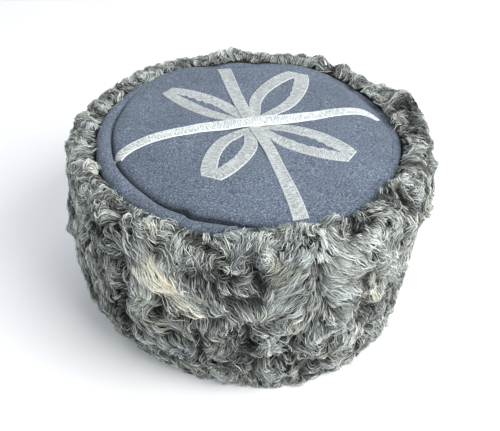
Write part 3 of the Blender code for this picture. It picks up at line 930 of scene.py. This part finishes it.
# Round the crown, angle by angle: how wide the rim is, how deep the crease is, how far the cloth falls before
# it meets the fur, and how strong the painted shade in the crease is
FOLD_ANGLE = (-180, -150, -134, -127, -124, -114, -104, -97, -84, 0, 90, 128, 152, 180)
FOLD_WIDTH = (0.93, 1.08, 0.88, 0.88, 0.68, 0.67, 0.52, 0.48, 0.45, 0.50, 0.45, 0.48, 0.74, 0.93)
FOLD_DEPTH = (1.10, 1.20, 1.20, 1.05, 1.20, 1.10, 1.00, 0.60, 0.08, 0.12, 0.08, 0.10, 0.62, 1.10)
EDGE_FALL = (0.60, 1.00, 1.00, 1.00, 1.00, 1.00, 1.00, 1.00, 1.00, 0.45, 0.20, 0.20, 0.30, 0.60)
FOLD_PAINTED_SHADE = (0.75, 0.90, 1.20, 1.50, 1.55, 1.50, 1.30, 1.20, 1.00, 1.00, 1.00, 0.80, 0.75, 0.75)
LIP_LEAN = 0.3 * MM
# How far the painted shade of the crease reaches, on the disc's side of it and on the rim's
PAINTED_SHADE_IN = 3.2 * MM
PAINTED_SHADE_OUT = 1.0 * MM
# How much higher the cloth is near the fur, in millimetres. Behind the dent at the back it comes up again.
# Both set in at a radius and over a length.
SAG_ANGLE = (-180, -150, -60, -30, -15, -5, 8, 20, 32, 42, 55, 66, 74, 82, 89, 96, 104, 114, 130, 152, 180)
SAG_RISE = (
    0.8, 0.0, 0.0, 0.0, -0.6, -1.6, -2.2, -2.0, -0.6, 0.8, 1.2,
    -0.4, -2.8, -4.0, -3.0, -0.2, 2.0, 2.4, 1.8, 1.4, 0.8,
)
SAG_SETS_IN = (76, 17)
DENT_ANGLE = 81
DENT_WIDTH = 12
DENT_SETS_IN = (88, 3.5)
# The crease is soft where it is less deep than this share, and its lip there is a share of the crown's fall
SHARP_DEPTH = 0.5
SOFT_LIP = 0.07
# Slight waves of the disc: height in millimetres, waves round it, turn with the radius, start
RIPPLES = ((0.22, 3, 40, 0.0), (0.16, 5, -70, 1.7))
PUCKER = 0.25 * MM
PUCKERS = 23


def eased(x, y, at):
    """Between the points of a table with a level stretch at each one."""
    x, y = np.asarray(x, float), np.asarray(y, float)
    index = np.clip(np.searchsorted(x, at, side="right") - 1, 0, len(x) - 2)
    part = smooth((at - x[index]) / (x[index + 1] - x[index]))
    return y[index] * (1 - part) + y[index + 1] * part


def edge_radius():
    """Where the crown's cloth ends, a clearance inside the mouth."""
    return HEAD_RADIUS + MOUTH_FLARE - CLEARANCE


def crease_radius(angle):
    return edge_radius() - RIM_WIDTH * eased(FOLD_ANGLE, FOLD_WIDTH, turn_between(angle, 0))


def crown_height(angle, radius):
    """Height of the crown's cloth at an angle in degrees and a round radius."""
    rim_height = BAND_HEIGHT - RIM_SUNK
    crease = crease_radius(angle)
    depth = eased(FOLD_ANGLE, FOLD_DEPTH, turn_between(angle, 0))
    low = rim_height - CREASE_DEPTH * depth
    high = rim_height + CROWN_RISE
    share = radius / crease
    sharp = np.clip(depth / SHARP_DEPTH, 0, 1)
    drop = curve_through(DISC_SHARE, DISC_DROP, share) * sharp
    drop = drop + curve_through(DISC_SHARE, SOFT_DROP, share) * (1 - sharp)
    disc = high - (high - low) * drop
    turn = np.radians(angle)
    ripple = 0
    for size, waves_round, along, start in RIPPLES:
        ripple = ripple + size * np.sin(waves_round * turn + along * radius + start)
    ripple = ripple + 0.10 * np.sin(11 * turn + 2.0) * smooth((share - 0.7) / 0.25)
    disc = disc + ripple * MM * smooth((1 - share) / 0.25)
    part = np.clip((radius - crease) / (edge_radius() - crease), 0, 1)
    pucker = PUCKER * np.sin(PUCKERS * turn + 3 * np.sin(4 * turn)) * np.sin(math.pi * part) * depth
    rise = curve_through(RIM_SHARE, RIM_RISE, part) * sharp
    soft = SOFT_LIP * (high - low) * (1 - smooth(part / 0.7)) * (1 - sharp)
    rim = low + (rim_height - low) * rise + soft
    fall = eased(FOLD_ANGLE, EDGE_FALL, turn_between(angle, 0))
    rim = rim - RIM_DROP * fall * curve_through(RIM_SHARE, RIM_FALL, part) + pucker
    sag = MM * curve_through(SAG_ANGLE, SAG_RISE, turn_between(angle, 0))
    level = np.exp(-((turn_between(angle, DENT_ANGLE) / DENT_WIDTH) ** 2)) * sets_in(radius, *DENT_SETS_IN)
    return np.where(share <= 1, disc, rim) + sag * sets_in(radius, *SAG_SETS_IN) * (1 - 0.9 * level)


def crown_height_at(x, y):
    angle = np.degrees(np.arctan2(y, x))
    return crown_height(angle, np.hypot(x, y) / oval(angle))


def make_crown(material):
    """The felt crown: disc, crease, rim, the skirt inside the band and the cloth's underside."""
    columns, disc_rows, edge_rows, rim_rows = 300, 30, 16, 20
    angle = (np.arange(columns) * 360 / columns - 180)[:, None]
    near_crease = 1 - 0.07 * np.linspace(1, 0, edge_rows + 1)[1:] ** 1.6
    disc = np.concatenate([np.linspace(0.004, 0.93, disc_rows), near_crease])
    disc_radius = crease_radius(angle) * disc[None, :]
    rim_part = np.linspace(0, 1, rim_rows + 1)[1:] ** 1.4
    crease = crease_radius(angle)
    rim_radius = crease + (edge_radius() - crease) * rim_part[None, :]
    radius = np.concatenate([disc_radius, rim_radius], axis=1)
    height = crown_height(angle + 0 * radius, radius)
    fold_depth = eased(FOLD_ANGLE, FOLD_DEPTH, angle)
    away = radius - crease
    # painted shade in the crease: darkest at it and fading on both sides, kept as u of the fold map
    strength = eased(FOLD_ANGLE, FOLD_PAINTED_SHADE, angle)
    reach = np.where(away < 0, PAINTED_SHADE_IN, PAINTED_SHADE_OUT) * strength
    shade = np.clip(np.exp(-((away / reach) ** 2)) * np.clip(fold_depth, 0, 1) * strength, 0, 1)
    lean = curve_through(RIM_SHARE, RIM_LEAN, rim_part)[None, :]
    radius[:, disc_radius.shape[1]:] -= LIP_LEAN * fold_depth * lean
    flare = BAND_HEIGHT - MOUTH_DEPTH
    edge = BAND_HEIGHT - RIM_SUNK - RIM_DROP
    skirt_low = BAND_HEIGHT - SKIRT_DEPTH
    inner = HEAD_RADIUS - CLEARANCE - CLOTH_THICKNESS
    skirt = (
        (HEAD_RADIUS + MOUTH_FLARE / 2 - CLEARANCE, (edge + flare) / 2),
        (HEAD_RADIUS - CLEARANCE, flare),
        (HEAD_RADIUS - CLEARANCE, skirt_low + 0.8 * MM),
        (HEAD_RADIUS - CLEARANCE - 0.6 * MM, skirt_low),
        (inner + 0.4 * MM, skirt_low),
        (inner, skirt_low + 0.8 * MM),
        (inner, flare),
        (inner + MOUTH_FLARE / 2, (edge + flare) / 2),
    )
    under = radius[:, ::-1][:, 4::8]
    under_height = height[:, ::-1][:, 4::8] - CLOTH_THICKNESS
    under = np.minimum(under, inner + MOUTH_FLARE)
    ones = np.ones_like(angle)
    skirt_radius, skirt_height = np.array(skirt).T
    radius = np.concatenate([radius, ones * skirt_radius, under, ones * 0.4 * MM], axis=1)
    height = np.concatenate([height, ones * skirt_height, under_height, under_height[:, -1:]], axis=1)
    points = around_the_hat(angle, radius * oval(angle), height)
    rows = points.shape[1]
    row = np.arange(rows - 1)[None, :]
    faces = quads(*neighbours_round(columns, rows), row, row + 1)
    shade = np.pad(shade, ((0, 0), (0, rows - shade.shape[1])))
    place = np.stack([shade.ravel(), 0.5 + 0 * shade.ravel()], axis=-1)[faces]
    crown = mesh_from_arrays("crown_felt", points.reshape(-1, 3), faces, place, "fold")
    crown.data.materials.append(material)
    return crown


# The braid

# The middle lines of the two crossed braids, as shares of the half length of the crown along each of them
ACROSS = table(
    "along aside width",
    (-0.874, -0.092, 0.84),
    (-0.840, -0.056, 0.86),
    (-0.750, -0.002, 0.92),
    (-0.640, 0.035, 0.97),
    (-0.500, 0.054, 1.00),
    (-0.300, 0.048, 1.02),
    (0.040, 0.012, 1.10),
    (0.360, -0.014, 1.06),
    (0.600, -0.004, 1.00),
    (0.730, -0.012, 0.96),
    (0.810, -0.044, 0.82),
    (0.852, -0.090, 0.60),
    (0.885, -0.146, 0.34),
)
FRONT_BACK = table(
    "along aside width",
    (-0.935, 0.048, 0.98),
    (-0.780, 0.056, 0.94),
    (-0.560, 0.060, 0.84),
    (-0.300, 0.060, 0.80),
    (0.010, 0.036, 0.86),
    (0.280, 0.026, 0.94),
    (0.620, 0.036, 1.02),
    (0.870, 0.048, 1.08),
)
# Each loop, seen from the crossing. reach and opening are shares of the crown's radius. start and end leave
# room in millimetres before and after the opening, left and right scale how far the legs bulge, and the waves
# are how far their inner edges wander in millimetres.
LOOPS = table(
    "name heading reach opening start end left right wave_left wave_right",
    ("back_left", 126.5, 0.772, 0.027, 12, 8.0, 0.92, 1.00, 0.3, 0.9),
    ("back_right", 50.5, 0.812, 0.075, 11, 8.5, 1.00, 1.00, 0.2, 0.6),
    ("front_right", -47.0, 0.706, 0.042, 10, 7.5, 1.00, 0.96, 0.7, 0.9),
    ("front_left", -128.0, 0.624, 0.048, 13, 8.5, 1.00, 1.00, 0.3, 0.2),
)
OUTLINE_ALONG = (0.00, 0.12, 0.30, 0.50, 0.72, 0.90, 1.00)
OUTLINE_OUTER = (0.10, 0.50, 0.90, 1.00, 0.90, 0.68, 0.46)
OUTLINE_OPENING = (0.00, 0.35, 0.90, 1.00, 0.75, 0.30, 0.00)

# Across the braid: where the lines of the mesh lie, and how thick the braid is there. Its ribs and its frayed
# thread change this by small shares.
PROFILE_ACROSS = (0.00, 0.015, 0.05, 0.10, 0.17, 0.30, 0.50, 0.70, 0.83, 0.90, 0.95, 0.985, 1.00)
PROFILE_THICK = (-0.5, 0.72, 1.00, 0.96, 0.80, 0.80, 0.84, 0.80, 0.80, 0.96, 1.00, 0.72, -0.5)
RIB_PITCH = 1.05 * MM
RIB_STEP = 0.35 * MM
RIB_SHARE = 0.16
RIB_SLANT = 1.1
RIB_UNEVEN = 0.10
FRAY_SHARE = 0.3
TAPE_THICKNESS = 0.5 * MM
TAPE_LAYER = 0.6 * MM
WEAVE_LENGTH = 10 * MM
TAPE_STEPS = 160
LOOP_STEPS = 70


def make_tape(name, sides, lift, closed, material):
    """A ribbed braid between two edges, arrays of x and y. lift is how far each place is off the cloth."""
    middle = (sides[0] + sides[1]) / 2
    way = np.append(0, np.cumsum(np.hypot(*np.diff(middle, axis=0).T)))
    count = max(8, round(way[-1] / RIB_STEP))
    even = np.linspace(0, way[-1], count + 1)

    def resampled(values):
        return np.interp(even, way, values)

    left = np.stack([resampled(sides[0][:, 0]), resampled(sides[0][:, 1])], axis=-1)
    right = np.stack([resampled(sides[1][:, 0]), resampled(sides[1][:, 1])], axis=-1)
    raised = resampled(lift)
    across = np.array(PROFILE_ACROSS)
    flat = left[:, None, :] * (1 - across[None, :, None]) + right[:, None, :] * across[None, :, None]
    rng = np.random.default_rng(len(name) * 31 + count)
    inside = np.sin(math.pi * across)[None, :] ** 0.5
    phase = even[:, None] / RIB_PITCH * math.tau + RIB_SLANT * np.sin(across[None, :] * math.tau * 1.5)
    phase = phase + np.cumsum(rng.normal(0, RIB_UNEVEN, count + 1))[:, None]
    rib = 0.5 + 0.5 * np.sin(phase)
    fray = rng.normal(0, 1, (count + 1, len(across))) * 0.10
    texture = RIB_SHARE * rib - RIB_SHARE / 2 + FRAY_SHARE * fray
    thick = np.array(PROFILE_THICK)[None, :] + texture * inside
    cloth = crown_height_at(flat[..., 0], flat[..., 1])
    height = cloth + raised[:, None] + thick * TAPE_THICKNESS
    points = np.concatenate([flat, height[..., None]], axis=-1)
    if closed:
        points = points[:-1]
    lines, width = points.shape[0], points.shape[1]
    first = (np.arange(lines if closed else lines - 1) * width)[:, None]
    following = ((np.arange(len(first)) + 1) % lines * width)[:, None]
    place = np.arange(width - 1)[None, :]
    faces = quads(first, following, place, place + 1)
    woven_way = even[: len(first) + 1, None] / WEAVE_LENGTH
    part = np.stack(np.broadcast_arrays(across[None, :], woven_way), axis=-1)
    weave = np.stack([part[:-1, :-1], part[:-1, 1:], part[1:, 1:], part[1:, :-1]], axis=2)
    tape = mesh_from_arrays(name, points.reshape(-1, 3), faces, weave, "weave")
    tape.data.materials.append(material)
    return tape


def loop_half_width(loop):
    """Half of a loop's widest place, out to the outer edge of its braid."""
    return edge_radius() * loop["opening"] + BRAID_WIDTH


def make_crossed_tape(name, rows, lengthwise, node, material):
    """A straight braid over the loops. The one that isn't lengthwise crosses on top."""
    half_length = edge_radius() * (1 + OVALITY if lengthwise else 1 - OVALITY)
    share = np.linspace(rows[0]["along"], rows[-1]["along"], TAPE_STEPS)
    table_along = column(rows, "along")
    along = share * half_length
    aside = curve_through(table_along, column(rows, "aside"), share) * half_length
    middle = np.stack([aside, along] if lengthwise else [along, aside], axis=-1)
    ahead = np.gradient(middle, axis=0)
    ahead /= np.linalg.norm(ahead, axis=1, keepdims=True)
    width = BRAID_WIDTH * curve_through(table_along, column(rows, "width"), share)
    across = np.stack([-ahead[:, 1], ahead[:, 0]], axis=-1) * width[:, None] / 2
    away = np.hypot(middle[:, 0] - CROSSING_ASIDE, middle[:, 1])
    over_loops = 2 * max(loop_half_width(loop) for loop in LOOPS)
    lift = TAPE_LAYER * (1 - smooth((away - over_loops) / LIFT_FADE))
    if not lengthwise:
        lift = lift + TAPE_LAYER * (1 - smooth((away - BRAID_WIDTH) / LIFT_FADE))
    tape = make_tape(name, (middle - across, middle + across), lift, False, material)
    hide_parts(node)
    return tape


def make_loop_tape(index, material):
    """A folded loop of braid round its opening, no wider than the room beside its neighbours."""
    loop = LOOPS[index]
    heading = math.radians(loop["heading"])
    ahead = np.array([math.cos(heading), math.sin(heading)])
    aside = np.array([-ahead[1], ahead[0]])
    neighbours = (LOOPS[index - 1], LOOPS[(index + 1) % len(LOOPS)])
    turns = [abs(turn_between(other["heading"], loop["heading"])) for other in neighbours]
    room = math.tan(math.radians(min(turns) / 2))
    reach = edge_radius() * loop["reach"]
    opening = edge_radius() * loop["opening"]
    share = np.linspace(0, 1, LOOP_STEPS)
    share = np.concatenate([share, share[::-1], share[:1]])
    side = np.concatenate([np.ones(LOOP_STEPS), -np.ones(LOOP_STEPS), np.ones(1)])
    along = LOOP_ROOT + (reach - LOOP_ROOT) * share
    bulge = np.where(side > 0, loop["left"], loop["right"])
    outer = bulge * loop_half_width(loop) * curve_through(OUTLINE_ALONG, OUTLINE_OUTER, share)
    outer = np.minimum(outer, along * room - CLEARANCE)
    inner_from, inner_to = loop["start"] * MM, reach - loop["end"] * MM
    inner_along = inner_from + (inner_to - inner_from) * share
    inner = opening * curve_through(OUTLINE_ALONG, OUTLINE_OPENING, share)
    wave = np.where(side > 0, loop["wave_left"], loop["wave_right"]) * MM
    wobble = np.sin(share * 31 + index) * np.sin(share * 17 + 2 * index)
    wobble = wobble + 0.5 * np.sin(share * 53 + 3 * index)
    arch = np.sin(math.pi * share)
    inner = np.maximum(inner + wave * wobble * arch**0.7, 0.05 * MM * arch)
    start = np.array([CROSSING_ASIDE, 0.0])

    def edge(far, wide):
        return start + ahead * far[:, None] + aside * (wide * side)[:, None]

    name = "tape_loop_" + loop["name"]
    tape = make_tape(name, (edge(along, outer), edge(inner_along, inner)), 0 * share, True, material)
    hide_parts("braid_loop_" + loop["name"])
    return tape


# Materials


class Nodes:
    """A Principled material, and short calls to add nodes to it."""

    def __init__(self, name, roughness, **constants):
        self.material = bpy.data.materials.new(name)
        self.material.use_nodes = True
        self.tree = self.material.node_tree
        self.shader = self.tree.nodes["Principled BSDF"]
        self.shader.inputs["Roughness"].default_value = roughness
        for socket, value in constants.items():
            self.shader.inputs[socket.replace("_", " ")].default_value = value
        self.coordinates = self.tree.nodes.new("ShaderNodeTexCoord").outputs["Object"]

    def link(self, output, target):
        self.tree.links.new(output, target)

    def noise(self, scale, detail=2.0, stretch=(1, 1, 1), layer=None):
        mapping = self.tree.nodes.new("ShaderNodeMapping")
        mapping.inputs["Scale"].default_value = stretch
        source = self.coordinates
        if layer:
            uv = self.tree.nodes.new("ShaderNodeUVMap")
            uv.uv_map = layer
            source = uv.outputs["UV"]
        self.link(source, mapping.inputs["Vector"])
        node = self.tree.nodes.new("ShaderNodeTexNoise")
        node.inputs["Scale"].default_value = scale
        node.inputs["Detail"].default_value = detail
        self.link(mapping.outputs["Vector"], node.inputs["Vector"])
        return node.outputs["Fac"]

    def split_uv(self, layer):
        uv = self.tree.nodes.new("ShaderNodeUVMap")
        uv.uv_map = layer
        split = self.tree.nodes.new("ShaderNodeSeparateXYZ")
        self.link(uv.outputs["UV"], split.inputs["Vector"])
        return split.outputs

    def ramp(self, source, stops, mode="LINEAR"):
        node = self.tree.nodes.new("ShaderNodeValToRGB")
        ramp = node.color_ramp
        ramp.interpolation = mode
        while len(ramp.elements) < len(stops):
            ramp.elements.new(0.5)
        for element, (place, colour) in zip(ramp.elements, stops):
            element.position = place
            red, green, blue = colour if hasattr(colour, "__len__") else (colour, colour, colour)
            element.color = (red, green, blue, 1.0)
        self.link(source, node.inputs["Fac"])
        return node.outputs["Color"]

    def mix(self, first, second, share, mode="MIX"):
        node = self.tree.nodes.new("ShaderNodeMix")
        node.data_type = "RGBA"
        node.blend_type = mode
        for socket, value in ((node.inputs[6], first), (node.inputs[7], second), (node.inputs[0], share)):
            if hasattr(value, "is_linked"):
                self.link(value, socket)
            else:
                socket.default_value = value
        return node.outputs[2]

    def times(self, first, second):
        return self.mix(first, second, 1.0, "MULTIPLY")

    def colour(self, source):
        self.link(source, self.shader.inputs["Base Color"])

    def bump(self, source, distance, strength=1.0):
        node = self.tree.nodes.new("ShaderNodeBump")
        node.inputs["Distance"].default_value = distance
        node.inputs["Strength"].default_value = strength
        self.link(source, node.inputs["Height"])
        self.link(node.outputs["Normal"], self.shader.inputs["Normal"])


def in_each_tint(stops):
    """The stops of a ramp from root to tip, once for each row of TINTS."""
    return [((row + place) / len(TINTS), value) for row in range(len(TINTS)) for place, value in stops]


def hair_material():
    """The colour of a strand: u is its shade, v its tint and, within that, its way from root to tip."""
    nodes = Nodes("karakul_hair", 0.6, Specular_IOR_Level=0.3)
    split = nodes.split_uv("OFBake")
    shade = nodes.ramp(
        split["X"],
        (
            (0.00, (0.014, 0.014, 0.014)),
            (0.15, (0.038, 0.039, 0.038)),
            (0.33, (0.131, 0.141, 0.137)),
            (0.50, (0.298, 0.326, 0.315)),
            (0.68, (0.480, 0.523, 0.503)),
            (0.84, (0.697, 0.742, 0.710)),
            (0.87, (0.965, 0.950, 0.835)),
            (0.94, (0.955, 0.932, 0.805)),
            (0.95, (0.720, 0.610, 0.460)),
            (1.00, (0.740, 0.630, 0.480)),
        ),
    )
    # darker towards the root: partly the hair's own darker roots, partly painted shade where roots lie under
    # other hair; cream and tan strands less so
    grey_stops = ((0.0, 0.14), (0.22, 0.46), (0.48, 0.92), (0.70, 1.0), (0.99, 1.0))
    bright_stops = ((0.0, 0.70), (0.25, 1.0), (0.99, 1.0))
    tint_stops = [(row / len(TINTS), colour) for row, colour in enumerate(TINTS)]
    root = nodes.ramp(split["Y"], in_each_tint(grey_stops))
    bright_root = nodes.ramp(split["Y"], in_each_tint(bright_stops))
    tint = nodes.ramp(split["Y"], tint_stops, "CONSTANT")
    is_bright = nodes.ramp(split["X"], ((0.855, 0.0), (0.865, 1.0)))
    darkening = nodes.mix(root, bright_root, is_bright)
    nodes.colour(nodes.times(nodes.times(shade, darkening), tint))
    return nodes.material


def dark_roots_and_painted_shade_material():
    """Near-black under-fur: partly the hair's dark roots, partly painted shade deep between the locks."""
    nodes = Nodes("karakul_dark_roots_and_painted_shade", 0.85, Specular_IOR_Level=0.2)
    grain = nodes.noise(900, 4)
    nodes.colour(nodes.ramp(grain, ((0.35, 0.012), (0.60, 0.040), (0.78, (0.080, 0.080, 0.076)))))
    nodes.bump(nodes.noise(1400, 3), 0.5 * MM)
    return nodes.material


def hide_material():
    """The skin side of the pelt, inside the hat."""
    nodes = Nodes("karakul_hide", 0.85, Specular_IOR_Level=0.25, Sheen_Weight=0.15)
    blotch = nodes.noise(28, 3)
    grain = nodes.noise(650, 4)
    base = nodes.ramp(blotch, ((0.35, (0.30, 0.24, 0.18)), (0.65, (0.42, 0.35, 0.27))))
    fine = nodes.ramp(grain, ((0.30, 0.72), (0.70, 1.0)))
    nodes.colour(nodes.times(base, fine))
    nodes.bump(grain, 0.25 * MM)
    return nodes.material


def felt_material():
    """Heathered blue-grey felt, with painted shade along its crease."""
    nodes = Nodes("crown_wool_felt", 0.92, Specular_IOR_Level=0.15, Sheen_Weight=0.08, Sheen_Roughness=0.45)
    heather = nodes.noise(1150, 3)
    fibre = nodes.noise(2600, 3)
    cloud = nodes.noise(38, 3)
    base = nodes.ramp(
        heather,
        (
            (0.34, (0.046, 0.060, 0.086)),
            (0.46, (0.088, 0.111, 0.148)),
            (0.56, (0.126, 0.157, 0.203)),
            (0.68, (0.214, 0.254, 0.312)),
        ),
    )
    fine = nodes.ramp(fibre, ((0.32, 0.70), (0.50, 1.0), (0.66, 1.36)))
    broad = nodes.ramp(cloud, ((0.35, 0.90), (0.65, 1.06)))
    # painted shade along the crease, read from the fold map
    fold = nodes.ramp(nodes.split_uv("fold")["X"], ((0.0, 1.0), (0.5, 0.80), (0.85, 0.50), (1.0, 0.22)))
    nodes.colour(nodes.times(nodes.times(nodes.times(base, fine), broad), fold))
    nodes.bump(nodes.noise(1300, 4), 0.30 * MM, 0.8)
    return nodes.material


# Silver thread in the shade of its twist, along it and on its shine
THREAD_COLOURS = ((0.290, 0.308, 0.312), (0.540, 0.580, 0.590), (0.810, 0.865, 0.875))


def braid_material(name, painted_light_level):
    """Silver thread laid across the braid, with a brighter line along both edges, scaled by a painted light
    level.
    """
    nodes = Nodes(name, 0.42, Specular_IOR_Level=0.5, Sheen_Weight=0.1)
    thread = nodes.noise(1.0, 2, stretch=(2.2, 17, 1), layer="weave")
    grain = nodes.noise(1.0, 1, stretch=(13, 19, 1), layer="weave")
    gap = nodes.noise(1.0, 1, stretch=(3.5, 15, 1), layer="weave")
    patch = nodes.noise(75, 2)
    low, mid, high = (tuple(painted_light_level * part for part in row) for row in THREAD_COLOURS)
    base = nodes.ramp(thread, ((0.32, low), (0.48, mid), (0.64, high)))
    fine = nodes.ramp(grain, ((0.33, 0.46), (0.47, 0.97), (0.62, 1.14)))
    dashes = nodes.ramp(gap, ((0.30, (0.46, 0.47, 0.47)), (0.37, (1.0, 1.0, 1.0))))
    worn = nodes.ramp(patch, ((0.35, (0.88, 0.88, 0.87)), (0.60, (1.0, 1.0, 1.0))))
    edge = nodes.ramp(nodes.split_uv("weave")["X"], ((0.03, 0.75), (0.10, 0.0), (0.90, 0.0), (0.97, 0.75)))
    woven = nodes.times(nodes.times(nodes.times(base, fine), dashes), worn)
    bright = nodes.times((*high, 1.0), fine)
    nodes.colour(nodes.mix(woven, bright, edge))
    nodes.bump(thread, 0.12 * MM, 0.7)
    return nodes.material


def floor_material():
    nodes = Nodes("studio_floor", 0.6, Specular_IOR_Level=0.3)
    nodes.colour(nodes.ramp(nodes.noise(3.0, 2), ((0.3, (0.86, 0.87, 0.885)), (0.7, (0.88, 0.89, 0.90)))))
    return nodes.material


# The studio

FLOOR_REACH = 4
LIGHTS = table(
    "name azimuth elevation distance size power colour",
    ("key", 44, 37, 1.3, 1.0, 26, (1.0, 0.985, 0.96)),
    ("back", 150, 60, 1.4, 1.0, 6, (0.97, 0.985, 1.0)),
    ("fill", -40, 40, 1.6, 1.4, 5, (0.92, 0.96, 1.0)),
)
SKY_COLOUR = (0.93, 0.96, 1.0, 1.0)
SKY_STRENGTH = 0.55
CAMERA_DISTANCE = 0.430
CAMERA_TARGET = Vector((0.0, 0.0, 0.060))
CAMERA_AZIMUTH = -14.0
CAMERA_ELEVATION = 37.604
CAMERA_ROLL = -1.332
CAMERA_LENS = 46.23
CAMERA_SENSOR = 36.0
CAMERA_SHIFT = (0.0032, -0.0395)


def direction(azimuth, elevation):
    """Away from the hat, at an azimuth that is 0 straight in front of it and 90 on its right."""
    turn, height = math.radians(azimuth), math.radians(elevation)
    return Vector((math.sin(turn) * math.cos(height), -math.cos(turn) * math.cos(height), math.sin(height)))


def make_camera():
    azimuth, roll = math.radians(CAMERA_AZIMUTH), math.radians(CAMERA_ROLL)
    back = direction(CAMERA_AZIMUTH, CAMERA_ELEVATION)
    right = Vector((math.cos(azimuth), math.sin(azimuth), 0.0))
    up = back.cross(right)
    rolled_right = right * math.cos(roll) + up * math.sin(roll)
    rolled_up = up * math.cos(roll) - right * math.sin(roll)
    data = bpy.data.cameras.new("photo_camera")
    data.lens = CAMERA_LENS
    data.sensor_width = CAMERA_SENSOR
    data.shift_x, data.shift_y = CAMERA_SHIFT
    data.clip_start, data.clip_end = 0.01, 20
    camera = bpy.data.objects.new("photo_camera", data)
    bpy.context.scene.collection.objects.link(camera)
    axes = Matrix((rolled_right, rolled_up, back)).transposed().to_4x4()
    camera.matrix_world = Matrix.Translation(CAMERA_TARGET + back * CAMERA_DISTANCE) @ axes
    bpy.context.scene.camera = camera


def make_light(row):
    """A soft square light that looks at the hat."""
    away = direction(row["azimuth"], row["elevation"])
    data = bpy.data.lights.new(row["name"], "AREA")
    data.shape = "SQUARE"
    data.size = row["size"]
    data.energy = row["power"]
    data.color = row["colour"]
    light = bpy.data.objects.new(row["name"], data)
    light.location = CAMERA_TARGET + away * row["distance"]
    light.rotation_euler = away.to_track_quat("Z", "Y").to_euler()
    bpy.context.scene.collection.objects.link(light)


def make_studio():
    corners = FLOOR_REACH * np.array([(-1, -1, 0), (1, -1, 0), (1, 1, 0), (-1, 1, 0)], float)
    floor = mesh_from_arrays("floor", corners, np.array([(0, 1, 2, 3)]))
    floor.data.materials.append(floor_material())
    for row in LIGHTS:
        make_light(row)
    world = bpy.data.worlds.new("studio")
    world.use_nodes = True
    background = world.node_tree.nodes["Background"]
    background.inputs["Color"].default_value = SKY_COLOUR
    background.inputs["Strength"].default_value = SKY_STRENGTH
    bpy.context.scene.world = world
    view = bpy.context.scene.view_settings
    view.view_transform = "Standard"
    view.look = "None"


def main():
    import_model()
    field = Field()
    pelt = make_pelt(field, dark_roots_and_painted_shade_material(), hide_material())
    hair_look = hair_material()
    hair = grow_hair(field)
    pieces = [pelt]
    for sector in SECTORS:
        chosen = np.abs(turn_between(hair["angle"], sector["middle"])) <= sector["half"]
        pieces.append(hair_piece("fur_curls_" + sector["name"], hair, chosen, hair_look))
    for piece in pieces:
        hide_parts("fur_band")
    crown = make_crown(felt_material())
    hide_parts("crown_cloth")
    # one braid in three brightnesses: painted light on the across braid on top, painted shade on the front to
    # back braid and the loops
    middle, top = braid_material("braid_middle_painted_darker", 0.66), braid_material("braid_top_painted_lighter", 0.98)
    tapes = [
        make_crossed_tape("tape_front_back", FRONT_BACK, True, "braid_front_back", middle),
        make_crossed_tape("tape_across", ACROSS, False, "braid_across", top),
    ]
    under = braid_material("braid_under_painted_darker", 0.65)
    tapes += [make_loop_tape(index, under) for index in range(len(LOOPS))]
    for piece in [*pieces, crown, *tapes]:
        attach(piece, "root")
    make_camera()
    make_studio()
    bpy.context.view_layer.update()


main()
